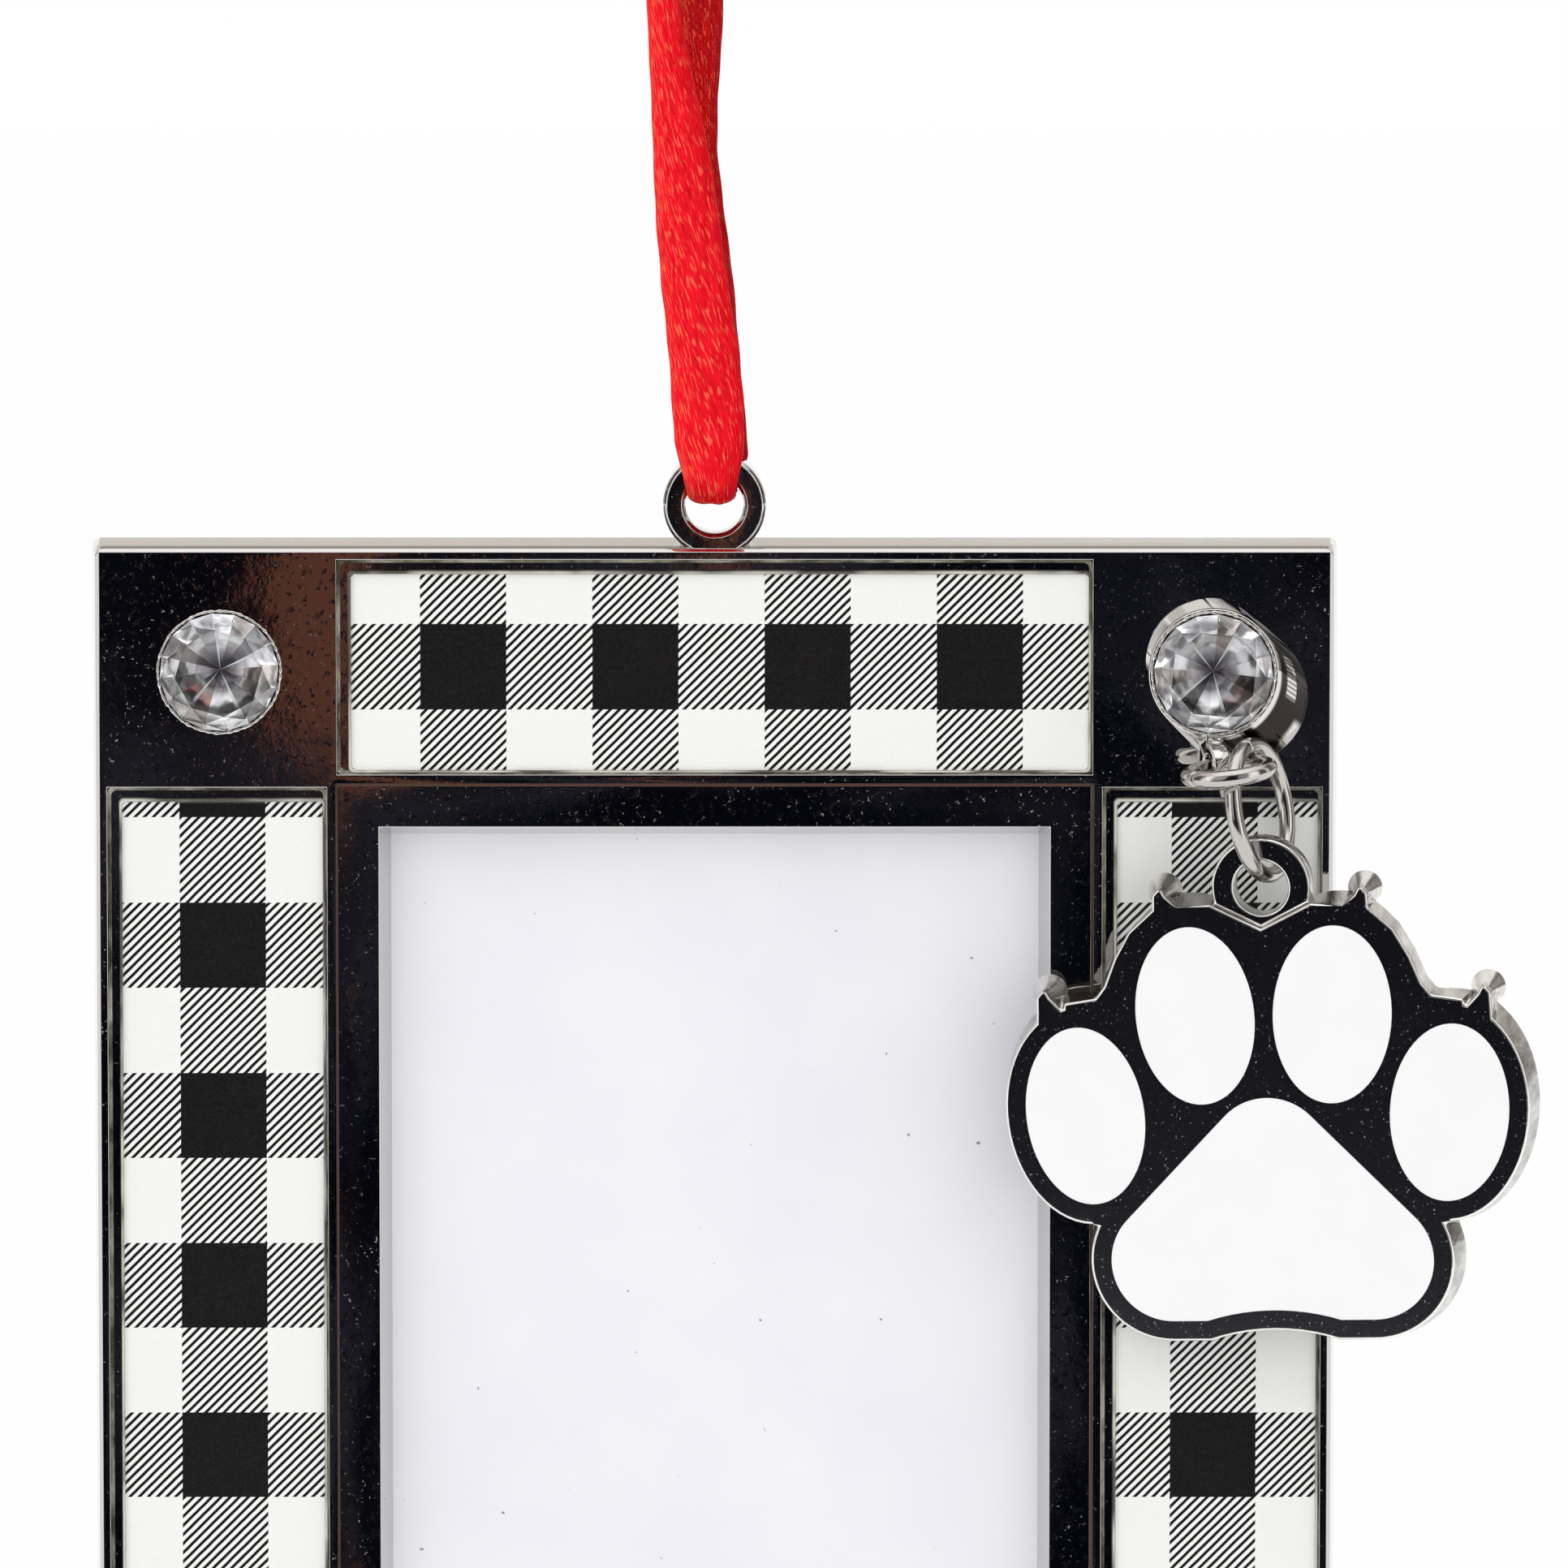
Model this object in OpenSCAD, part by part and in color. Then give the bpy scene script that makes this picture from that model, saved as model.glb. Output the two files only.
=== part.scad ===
/* [Frame casting] */
// Width of the frame's front face
frame_w = 66; // [60:0.5:80]
// Height of the frame's front face
frame_h = 84; // [76:0.5:100]
// Thickness of the frame from front to back
frame_t = 3.3; // [3:0.1:4.5]
// Slope of the outer walls, which widen towards the back
frame_draft = 5; // [0:0.5:8]
// Width of the chamfer round the front edge
edge_bevel = 0.2; // [0.1:0.05:0.4]
// Width of the border left and right of the picture opening
side_border = 15.1; // [13:0.1:17]
// Width of the border above and below the picture opening
end_border = 14.9; // [13:0.1:17]
// Width of the raised moulding round the opening
moulding_w = 2.3; // [1.5:0.1:3]
// Height of the moulding above the front face
moulding_rise = 0.22; // [0.1:0.02:0.5]
// Slope of the opening's walls
opening_draft = 15; // [0:1:20]

/* [Panels] */
// Flat lip between a panel's recess and the frame's outer edge
outer_lip = 0.6; // [0.4:0.05:1]
// Flat lip between a panel's recess and the moulding
inner_lip = 0.5; // [0.3:0.05:0.8]
// Depth of the recesses that hold the printed strips
recess_depth = 0.52; // [0.45:0.01:0.8]
// Length of the plain corner squares, measured across the frame
corner_w = 12.85; // [12:0.05:14]
// Length of the plain corner squares, measured down the frame
corner_h = 12.8; // [12:0.05:14]
// Gap between a strip and its recess on the upper left sides
strip_gap = 0.75; // [0.4:0.05:0.9]
// How far each strip was set towards the lower right
strip_shift = 0.28; // [0:0.02:0.35]
// Radius of the strips' corners
strip_corner = 0.35; // [0.2:0.05:0.8]
// Thickness of the printed paper
paper_t = 0.12; // [0.1:0.01:0.15]
// Thickness of the ink
ink_t = 0.04; // [0.03:0.01:0.05]
// Thickness of the clear resin over the print
resin_t = 0.24; // [0.2:0.01:0.28]
// Side of one square of the check
check = 4.59; // [3:0.01:7]
// Distance from the frame's middle to a dark column of the end strips
dark_column = 4.96; // [0:0.01:9]
// Distance from a side panel's upper end to the middle of its first dark row
first_row = 8.51; // [4:0.01:9]

/* [Eyelet] */
// Outer diameter of the eyelet
eyelet_d = 5.5; // [5:0.1:7]
// Diameter of the eyelet's hole
eyelet_hole_d = 3.1; // [2.9:0.1:3.6]
// Height of the eyelet's centre above the frame's top edge
eyelet_rise = 2.3; // [2:0.05:2.6]
// Thickness of the eyelet
eyelet_t = 2.9; // [2.2:0.1:3]

/* [Stones] */
// Diameter of each stone
stone_d = 6.35; // [5.5:0.05:7]
// Distance of a stone's centre from the frame's edges
stone_inset = 6.6; // [6:0.05:7.5]
// Clearance round a stone in its seat
stone_fit = 0.05; // [0.02:0.01:0.1]

/* [Raised cup] */
// Diameter of the cup where it stands on the frame
cup_base_d = 7.3; // [7:0.1:7.8]
// Diameter of the cup's rim
cup_rim_d = 6.9; // [6.8:0.05:7.3]
// Height of the cup
cup_h = 3.1; // [2.8:0.1:3.3]
// Distance of the cup's base centre from the frame's right edge
cup_in_x = 5.05; // [4.6:0.05:5.6]
// Distance of the cup's base centre from the frame's top edge
cup_in_z = 7.85; // [7.6:0.05:8.2]
// How far the rim leans to the left of the base
cup_lean_x = 1.45; // [1:0.05:1.6]
// How far the rim leans up from the base
cup_lean_z = 1.5; // [1.2:0.05:1.8]
// Outer diameter of the bail under the cup
bail_d = 2.5; // [2.4:0.05:2.7]
// Width of the bail along its hole
bail_w = 0.9; // [0.7:0.05:1.1]
// Distance from the cup's rim to the middle of the bail's hole
bail_drop = 1.52; // [1.48:0.01:1.56]
// Clearance of the upper ring's wire in the bail's hole
bail_play = 0.46; // [0.4:0.02:0.6]

/* [Jump rings] */
// Diameter of the upper ring to the middle of its wire
upper_ring_d = 4.25; // [4.18:0.01:4.32]
// Thickness of the upper ring's wire
upper_wire_d = 0.92; // [0.8:0.02:0.96]
// Diameter of the lower ring to the middle of its wire
lower_ring_d = 6.95; // [6.9:0.01:7.05]
// Thickness of the lower ring's wire
lower_wire_d = 0.88; // [0.8:0.02:0.92]
// Clearance between linked pieces
link_gap = 0.07; // [0.04:0.01:0.1]

/* [Paw charm] */
// Thickness of the paw plate
paw_t = 2.5; // [2.2:0.1:2.7]
// Width of the metal edge round each enamel field
paw_edge = 1.08; // [0.9:0.02:1.3]
// How much wider the plate is at the back than at the front
paw_flare = 0.3; // [0:0.05:0.4]
// Outer diameter of the charm's loop
loop_d = 5.28; // [4.8:0.04:5.6]
// Diameter of the loop's hole
loop_hole_d = 2.92; // [2.8:0.04:3.1]
// Thickness of the loop
loop_t = 1.6; // [1.2:0.1:1.7]
// How far the loop's front lies behind the paw's face
loop_step = 0.7; // [0.5:0.05:0.8]
// Height of the lower ring's wire above the middle of the loop's hole
loop_hang = 0.56; // [0.52:0.01:0.6]
// How far that wire lies right of the middle of the loop's hole
loop_side = 0.23; // [0.18:0.01:0.28]
// Depth of the enamel
enamel_depth = 0.5; // [0.3:0.05:0.8]

/* [Back and card] */
// Thickness of the white photo card
card_t = 0.4; // [0.3:0.05:0.5]
// Thickness of the back plate
back_plate_t = 0.8; // [0.6:0.05:0.9]
// How far the back's rebate reaches past the opening
rebate_w = 1.6; // [1.2:0.1:2]
// Clearance round the card and the back plate
plate_fit = 0.1; // [0.05:0.01:0.2]

/* [Ribbon] */
// Height of the hanging point above the frame's top edge
hang_drop = 53; // [53:0.5:60]
// Width of the ribbon as it hangs, folded lengthwise
ribbon_w = 3.7; // [3:0.1:4]
// Thickness of the folded ribbon
ribbon_t = 0.7; // [0.5:0.05:0.8]

/* [Hidden] */
chrome_grey = [0.72, 0.72, 0.74];
front_y = -frame_t / 2;
back_y = frame_t / 2;
top_z = -hang_drop;
mid_z = top_z - frame_h / 2;
bottom_z = top_z - frame_h;
eps = 0.01;

// Picture opening, its rebate and what lies in it
open_w = frame_w - 2 * side_border;
open_h = frame_h - 2 * end_border;
rebate_depth = card_t + back_plate_t + 0.1;
card_front_y = back_y - rebate_depth;
opening_depth = card_front_y - front_y + moulding_rise;
open_slope = opening_depth * tan(opening_draft);

// Panel recesses: centre and size of each, as [x, z, w, h]
side_recess_w = side_border - moulding_w - inner_lip - outer_lip;
end_recess_h = end_border - moulding_w - inner_lip - outer_lip;
side_recess_x = frame_w / 2 - outer_lip - side_recess_w / 2;
end_recess_z = frame_h / 2 - outer_lip - end_recess_h / 2;
panel_top = [0, end_recess_z, frame_w - 2 * corner_w, end_recess_h];
panel_bottom = [0, -end_recess_z, frame_w - 2 * corner_w, end_recess_h];
panel_left = [-side_recess_x, 0, side_recess_w, frame_h - 2 * corner_h];
panel_right = [side_recess_x, 0, side_recess_w, frame_h - 2 * corner_h];

// Middle of the first dark row of the side strips
side_row = frame_h / 2 - corner_h - first_row;

// Depths of the layers in a recess, from the floor up
recess_y = front_y + recess_depth;
paper_y = recess_y - paper_t;
ink_y = paper_y - ink_t;
resin_y = ink_y - resin_t;

// Stones and the raised cup
stone_r = stone_d / 2;
seat_r = stone_r + stone_fit;
stone_table = 0.74;
stone_crown = stone_d * 0.1;
stone_girdle = stone_d * 0.03;
stone_pavilion = stone_d * 0.36;
stone_proud = stone_crown + 0.12;
stone_x = frame_w / 2 - stone_inset;
stone_z = frame_h / 2 - stone_inset;
cup_base = [frame_w / 2 - cup_in_x, front_y, top_z - cup_in_z];
cup_rim = cup_base + [-cup_lean_x, -cup_h, cup_lean_z];
bail_side = 0.1;
bail_turn = 17.7;
bail_hole_d = upper_wire_d + bail_play;
bail_pos = cup_rim + [bail_side, 0, -cup_rim_d / 2 - bail_drop];

// Upper ring: its wire passes through the bail, and its front hangs a little
upper_turn = [1.1, -7.8, bail_turn];
upper_r = upper_ring_d / 2;
upper_split = 200;
link_angle = 57.5;

// Lower ring: hangs on the upper ring's wire, its left side towards the viewer
lower_r = lower_ring_d / 2;
lower_turn = [-5.4, -8.8, 0];
lower_spin = -24;
lower_split = 191;
hang_angle = -8;
lower_drop = lower_r - (upper_wire_d + lower_wire_d) / 2 - link_gap;

// Paw charm, in its own plane with the loop's centre at the origin
paw_turn = [3, -1.9, -9.6];
toe_rx = 3.18;
toe_rz = 4.8;
toe_inner = [3.67, -6.74, 4];
toe_outer = [9.75, -12.08, 5.5];
pad_top = [0, -14.4, 3.2];
pad_lobe = [5.4, -20, 3.25];
pad_dip_r = 12;
pad_dip_z = -22.7;
claws = [[5.35, -0.35], [11.75, -5.75]];
claw_r = 0.62;
claw_outline = [[-0.95, -1.5], [-0.95, -0.65], [-0.3, 0.05], [-0.1, 0.42], [0.12, 0.42], [0.4, 0.1], [0.45, -1.5]];
paw_front = -(loop_step + loop_t / 2);

// Ribbon: up the front, through the knot, over the hanging point and down the back
ribbon_path = [
    [0, -0.2, -50.05], [0, -1.3, -50.1], [-0.1, -2.1, -49.5], [-0.2, -2.2, -48.2],
    [-0.4, -2.2, -46], [-0.5, -2.1, -43], [-0.6, -2, -39], [-0.9, -1.7, -35],
    [-1.2, -1.5, -31], [-1.4, -1.3, -27], [-1.5, -1.1, -23], [-1.5, -0.7, -19.5],
    [-1.4, -0.9, -16], [-1.1, -2.4, -12], [-0.7, -3.6, -8], [-0.3, -3.4, -4],
    [-0.1, -2, -1], [0, 0, 0.3], [-0.1, 2, -1], [-0.3, 3.4, -4],
    [-0.7, 3.6, -8], [-1.1, 2.4, -12], [-1.4, 0.9, -16], [-1.5, 0.7, -19.5],
    [-1.4, 1.1, -23], [-1.1, 1.3, -27], [-0.8, 1.5, -31], [-0.4, 1.7, -35],
    [0, 2, -39], [0.2, 2.1, -43], [0.3, 2.2, -46], [0.2, 2.2, -48.2],
    [0.1, 2.1, -49.5], [0, 1.3, -50.1], [0, 0.2, -50.05]];
ribbon_narrow = [0.52, 0.54, 0.72, 0.8, 0.9];
knot_pos = [-1.5, 0, -18.2];
knot_w = 5.6;
knot_h = 5;
knot_t = 4.2;

// A block whose four sides lean out by flare towards the back, chamfered at the front
module leaning_block(w, h, front, back, flare, bevel) {
    intersection() {
        linear_extrude(height = 4 * h, center = true)
            polygon(lean_profile(w, front, back, flare, bevel));
        rotate([0, -90, 0]) linear_extrude(height = 4 * w, center = true)
            polygon(lean_profile(h, front, back, flare, bevel));
    }
}

function lean_profile(w, front, back, flare, bevel) = [
    [-w / 2 + bevel, front], [w / 2 - bevel, front], [w / 2, front + bevel],
    [w / 2 + flare, back], [-w / 2 - flare, back], [-w / 2, front + bevel]];

// A disc whose axis runs front to back
module facing_disc(d, front, back) {
    translate([0, back, 0]) rotate([90, 0, 0])
        cylinder(d = d, h = back - front, $fn = 96);
}

module in_frame() {
    translate([0, 0, mid_z]) children();
}

module panel_block(p, front, back, inset = 0) {
    translate([p[0], (front + back) / 2, p[1]])
        cube([p[2] - 2 * inset, back - front, p[3] - 2 * inset], center = true);
}

module eyelet_ring() {
    wall = (eyelet_d - eyelet_hole_d) / 2;
    soft = min(0.45, wall / 3);
    translate([0, 0, top_z + eyelet_rise]) rotate([90, 0, 0])
        rotate_extrude($fn = 96)
            translate([eyelet_hole_d / 2, 0])
                polygon([[0, -eyelet_t / 2 + soft], [soft / 2, -eyelet_t / 2],
                    [wall - soft / 2, -eyelet_t / 2], [wall, -eyelet_t / 2 + soft / 2],
                    [wall, eyelet_t / 2 - soft / 2], [wall - soft / 2, eyelet_t / 2],
                    [soft / 2, eyelet_t / 2], [0, eyelet_t / 2 - soft]]);
}

module frame_casting() color(chrome_grey) difference() {
    union() {
        in_frame() leaning_block(frame_w, frame_h, front_y, back_y,
            frame_t * tan(frame_draft), edge_bevel);
        in_frame() leaning_block(open_w + 2 * moulding_w, open_h + 2 * moulding_w,
            front_y - moulding_rise, front_y + eps, 0, moulding_rise / 2);
        eyelet_ring();
    }
    // The eyelet's hole stays open where the ring meets the frame's top edge
    translate([0, 0, top_z + eyelet_rise])
        facing_disc(eyelet_hole_d, front_y - 1, back_y + 1);
    in_frame() {
        leaning_opening();
        translate([0, (card_front_y + back_y + 1) / 2, 0])
            cube([open_w - 2 * open_slope + 2 * rebate_w, back_y + 1 - card_front_y,
                open_h - 2 * open_slope + 2 * rebate_w], center = true);
        for (p = [panel_top, panel_bottom, panel_left, panel_right])
            panel_block(p, front_y - 1, recess_y);
        for (s = [[-1, 1], [-1, -1], [1, -1]])
            translate([s[0] * stone_x, 0, s[1] * stone_z]) stone_seat(front_y);
    }
}

// The opening narrows towards the card
module leaning_opening() {
    mirror([0, 1, 0]) leaning_block(open_w - 2 * open_slope, open_h - 2 * open_slope,
        -card_front_y - eps, -front_y + moulding_rise, open_slope, 0);
}

// A round seat with a cone under it for the stone's point
module stone_seat(face_y) {
    seat_y = face_y + stone_crown + stone_girdle - stone_proud + stone_fit;
    facing_disc(2 * seat_r, face_y - 1, seat_y);
    translate([0, seat_y, 0]) rotate([-90, 0, 0])
        cylinder(r1 = seat_r, r2 = 0.4, h = stone_pavilion + stone_fit, $fn = 64);
}

// Cut stone: flat table, sloping crown, narrow girdle and a pointed pavilion
module stone(pos) color("azure") translate(pos + [0, -stone_proud, 0]) rotate([-90, 0, 0]) hull() {
    cylinder(r = stone_r * stone_table, h = eps, $fn = 8);
    translate([0, 0, stone_crown]) rotate([0, 0, 11.25])
        linear_extrude(height = stone_girdle) circle(r = stone_r, $fn = 32);
    translate([0, 0, stone_crown + stone_girdle + stone_pavilion - eps])
        cylinder(r = 0.05, h = eps, $fn = 16);
}

// Raised cup: a leaning round wall, a seat for its stone and a cast bail underneath
module stone_cup() color(chrome_grey) difference() {
    foot_t = 0.4;
    rim_t = 0.5;
    union() {
        hull() {
            translate(cup_base) facing_disc(cup_base_d, -foot_t, 0);
            translate(cup_rim) facing_disc(cup_rim_d, 0, rim_t);
        }
        bail_block();
    }
    translate(cup_rim) stone_seat(0);
    translate(bail_pos) rotate([0, 0, bail_turn]) rotate([0, 90, 0])
        cylinder(d = bail_hole_d, h = 3 * bail_w, center = true, $fn = 64);
    cube_behind_face();
}

// Ring of the bail and the short neck that joins it to the cup's wall
module bail_block() {
    neck_back = 0.1;
    neck_reach = 0.4;
    translate(bail_pos) rotate([0, 0, bail_turn]) {
        rotate([0, 90, 0]) cylinder(d = bail_d, h = bail_w, center = true, $fn = 64);
        translate([-bail_w / 2, neck_back, 0]) cube([bail_w, bail_d / 2 - neck_back, bail_drop + neck_reach]);
    }
}

// Trims the cup flat where it stands on the frame
module cube_behind_face() {
    translate([cup_base[0] - cup_base_d, front_y, cup_base[2] - cup_base_d])
        cube([2 * cup_base_d, cup_h, 2 * cup_base_d]);
}

module strip(p, front, back, grow = 0) {
    w = p[2] - 2 * strip_gap + 2 * strip_shift + 2 * grow;
    h = p[3] - 2 * strip_gap + 2 * strip_shift + 2 * grow;
    in_frame() translate([p[0] + strip_shift, back, p[1] - strip_shift]) rotate([90, 0, 0])
        linear_extrude(height = back - front) rounded_rectangle(w, h, strip_corner);
}

module rounded_rectangle(w, h, r) {
    square([w - 2 * r, h], center = true);
    square([w, h - 2 * r], center = true);
    for (x = [-1, 1], z = [-1, 1])
        translate([x * (w / 2 - r), z * (h / 2 - r)]) circle(r = r, $fn = 32);
}

module paper_strip(p) color("whitesmoke") strip(p, paper_y, recess_y);

module resin(p) color("aliceblue", 0.35) strip(p, resin_y, ink_y);

// Squares of the check inside a strip: dark columns cross dark rows.
// x0 and z0 are the middle of one dark column and one dark row.
module check_cells(p, x0, z0, black) {
    w = p[2] - 2 * strip_gap + 2 * strip_shift;
    h = p[3] - 2 * strip_gap + 2 * strip_shift;
    cx = p[0] + strip_shift;
    cz = p[1] - strip_shift;
    n = ceil(max(w, h) / check) + 1;
    in_frame() translate([0, paper_y, 0]) rotate([90, 0, 0]) linear_extrude(height = ink_t)
        intersection() {
            translate([cx, cz]) rounded_rectangle(w, h, strip_corner);
            for (i = [-n:n], j = [-n:n])
                if (black ? (i % 2 == 0 && j % 2 == 0) : (abs(i + j) % 2 == 1))
                    translate([x0 + i * check, z0 + j * check])
                        square(check - 2 * eps, center = true);
        }
}

module check_top(black) check_cells(panel_top, dark_column, end_recess_z, black);
module check_bottom(black) check_cells(panel_bottom, dark_column, -end_recess_z, black);
module check_left(black) check_cells(panel_left, -side_recess_x + strip_shift, side_row, black);
module check_right(black) check_cells(panel_right, side_recess_x + strip_shift / 2, side_row, black);

module photo_card() color("white") in_frame()
    translate([0, card_front_y + card_t / 2, 0])
        cube([open_w - 2 * open_slope + 2 * rebate_w - 2 * plate_fit, card_t,
            open_h - 2 * open_slope + 2 * rebate_w - 2 * plate_fit], center = true);

module back_plate() color("silver") in_frame()
    translate([0, card_front_y + card_t + back_plate_t / 2, 0])
        cube([open_w - 2 * open_slope + 2 * rebate_w - 2 * plate_fit, back_plate_t,
            open_h - 2 * open_slope + 2 * rebate_w - 2 * plate_fit], center = true);

// Jump ring of round wire, closed but for a fine split
module jump_ring(r, wire, split_at) {
    split = 3;
    rotate([0, 0, split_at]) rotate_extrude(angle = 360 - split, $fn = 128)
        translate([r, 0]) circle(d = wire, $fn = 32);
}

// Places its children on the upper ring, with the ring's middle at the origin
module on_upper_ring() {
    translate(bail_pos) rotate(upper_turn) translate([0, -upper_r, 0]) children();
}

module upper_ring() color(chrome_grey) on_upper_ring() jump_ring(upper_r, upper_wire_d, upper_split);

// Turns a vector as rotate([x, y, z]) does
function turned(v, a) =
    let (x1 = v[0], y1 = v[1] * cos(a[0]) - v[2] * sin(a[0]), z1 = v[1] * sin(a[0]) + v[2] * cos(a[0]))
    let (x2 = x1 * cos(a[1]) + z1 * sin(a[1]), z2 = -x1 * sin(a[1]) + z1 * cos(a[1]))
    [x2 * cos(a[2]) - y1 * sin(a[2]), x2 * sin(a[2]) + y1 * cos(a[2]), z2];

// Where the lower ring crosses the upper ring's wire, and where the charm hangs
link_pos = bail_pos + turned([upper_r * sin(link_angle), upper_r * (cos(link_angle) - 1), 0], upper_turn);
charm_pos = link_pos + turned([-sin(lower_spin) * lower_r * sin(hang_angle),
    cos(lower_spin) * lower_r * sin(hang_angle), -lower_drop - lower_r * cos(hang_angle)], lower_turn);

module lower_ring() color(chrome_grey) translate(link_pos) rotate(lower_turn)
    translate([0, 0, -lower_drop]) rotate([0, 0, lower_spin]) rotate([0, 90, 0])
        jump_ring(lower_r, lower_wire_d, lower_split);

// Places its children in the charm's plane, x to the right and z up
module on_charm() {
    translate(charm_pos) rotate(paw_turn) translate([-loop_side, 0, -loop_hang]) children();
}

module toe_outline(grow) {
    polygon([for (a = [0:6:354]) [(toe_rx + grow) * cos(a), (toe_rz + grow) * sin(a)]]);
}

function toe_places() = [
    [-toe_outer[0], toe_outer[1], toe_outer[2]], [-toe_inner[0], toe_inner[1], toe_inner[2]],
    [toe_inner[0], toe_inner[1], -toe_inner[2]], [toe_outer[0], toe_outer[1], -toe_outer[2]]];

module at_toe(i) {
    t = toe_places()[i];
    translate([t[0], t[1]]) rotate([0, 0, t[2]]) children();
}

// Outline of the main pad: three round lobes and a shallow dip below
module pad_outline(grow) {
    difference() {
        hull() {
            translate([pad_top[0], pad_top[1]]) circle(r = pad_top[2] + grow, $fn = 64);
            for (s = [-1, 1])
                translate([s * pad_lobe[0], pad_lobe[1]]) circle(r = pad_lobe[2] + grow, $fn = 64);
        }
        translate([0, pad_dip_z - pad_dip_r]) circle(r = pad_dip_r - grow, $fn = 96);
    }
}

// Metal between the toes and the pad, with the notch over the loop
module web_outline() {
    half = [[2.7, -0.75], [4.4, -0.9], [5.7, -0.95], [7.1, -2.2], [7.9, -3.6], [8.5, -5.1],
        [9, -5.75], [10.7, -6], [11.2, -12], [9.5, -18], [4, -20]];
    polygon(concat([[0, -2.1]], half, [for (i = [len(half) - 1:-1:0]) [-half[i][0], half[i][1]]]));
}

// Plate standing from the paw's face backwards, flared towards the back
module paw_plate() {
    pad_middle = [0, -17.5];
    pad_span = 7.6;
    for (i = [0:3]) at_toe(i)
        linear_extrude(height = paw_t, scale = 1 + paw_flare / (toe_rx + paw_edge))
            toe_outline(paw_edge);
    translate(pad_middle)
        linear_extrude(height = paw_t, scale = 1 + paw_flare / pad_span)
            translate(-pad_middle) pad_outline(paw_edge);
    linear_extrude(height = paw_t) web_outline();
    for (s = [-1, 1], c = claws)
        translate([s * c[0], c[1]]) {
            cylinder(r1 = claw_r / 3, r2 = claw_r + paw_flare, h = paw_t, $fn = 24);
            linear_extrude(height = paw_t) polygon([for (q = claw_outline) [s * q[0], q[1]]]);
        }
}

module charm_loop() {
    translate([0, 0, loop_step]) cylinder(d = loop_d, h = loop_t, $fn = 96);
    root_w = 0.85 * loop_d;
    root_h = 2.4;
    translate([-root_w / 2, -root_h - 0.3 * loop_hole_d, loop_step]) cube([root_w, root_h, loop_t]);
}

module charm_upright() {
    translate([0, paw_front, 0]) rotate([90, 0, 0]) mirror([0, 0, 1]) children();
}

module paw_casting() color(chrome_grey) on_charm() charm_upright() difference() {
    union() {
        paw_plate();
        charm_loop();
    }
    translate([0, 0, -1]) cylinder(d = loop_hole_d, h = paw_t + 2, $fn = 96);
    for (i = [0:3]) at_toe(i)
        translate([0, 0, -1]) linear_extrude(height = 1 + enamel_depth) toe_outline(0);
    translate([0, 0, -1]) linear_extrude(height = 1 + enamel_depth) pad_outline(0);
}

module enamel_toe(i) color("white") on_charm() charm_upright() at_toe(i)
    linear_extrude(height = enamel_depth) toe_outline(0);

module enamel_pad() color("white") on_charm() charm_upright()
    linear_extrude(height = enamel_depth) pad_outline(0);

// Ribbon: an eight-sided flat section swept along its path
function ribbon_tangent(i) =
    let (n = len(ribbon_path), a = ribbon_path[max(0, i - 1)], b = ribbon_path[min(n - 1, i + 1)])
    (b - a) / norm(b - a);
function ribbon_width(i) =
    let (n = len(ribbon_path), k = min(i, n - 1 - i))
    ribbon_w * (k < len(ribbon_narrow) ? ribbon_narrow[k] : 1);
function ribbon_ring(i) =
    let (t = ribbon_tangent(i), u = cross(t, [1, 0, 0]), out = u / norm(u), across = cross(out, t),
        w = ribbon_width(i) / 2, h = ribbon_t / 2)
    [for (q = [[1, 0.4], [0.9, 1], [-0.9, 1], [-1, 0.4], [-1, -0.4], [-0.9, -1], [0.9, -1], [1, -0.4]])
        ribbon_path[i] + q[0] * w * across + q[1] * h * out];

module ribbon() color("crimson") {
    n = len(ribbon_path);
    rings = [for (i = [0:n - 1]) each ribbon_ring(i)];
    sides = [for (i = [0:n - 2], k = [0:7])
        [(i + 1) * 8 + k, (i + 1) * 8 + (k + 1) % 8, i * 8 + (k + 1) % 8, i * 8 + k]];
    polyhedron(points = rings, faces = concat(sides,
        [[for (k = [0:7]) k]], [[for (k = [7:-1:0]) (n - 1) * 8 + k]]));
}

// Knot: two round wraps, one over the other
module ribbon_knot() color("crimson") {
    ball = knot_t / 2;
    for (s = [-1, 1])
        hull() for (x = [-1, 1])
            translate(knot_pos + [x * (knot_w / 2 - ball), 0, s * (knot_h / 2 - ball) + s * x * 0.3])
                sphere(d = knot_t, $fn = 24);
}

frame_casting();
back_plate();
photo_card();
paper_strip(panel_top);  // print_top
paper_strip(panel_bottom);  // print_bottom
paper_strip(panel_left);  // print_left
paper_strip(panel_right);  // print_right
color("black") check_top(true);  // check_black_top
color("black") check_bottom(true);  // check_black_bottom
color("black") check_left(true);  // check_black_left
color("black") check_right(true);  // check_black_right
color("gray") check_top(false);  // check_twill_top
color("gray") check_bottom(false);  // check_twill_bottom
color("gray") check_left(false);  // check_twill_left
color("gray") check_right(false);  // check_twill_right
resin(panel_top);  // resin_top
resin(panel_bottom);  // resin_bottom
resin(panel_left);  // resin_left
resin(panel_right);  // resin_right
stone_cup();
stone([-stone_x, front_y, mid_z + stone_z]);  // stone_top_left
stone(cup_rim);  // stone_top_right
stone([-stone_x, front_y, mid_z - stone_z]);  // stone_bottom_left
stone([stone_x, front_y, mid_z - stone_z]);  // stone_bottom_right
upper_ring();
lower_ring();
paw_casting();
enamel_pad();
enamel_toe(0);  // enamel_toe_1
enamel_toe(1);  // enamel_toe_2
enamel_toe(2);  // enamel_toe_3
enamel_toe(3);  // enamel_toe_4
ribbon();
ribbon_knot();
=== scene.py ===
import math
import bpy
import bmesh
import numpy as np
from mathutils import Matrix, Vector


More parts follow.
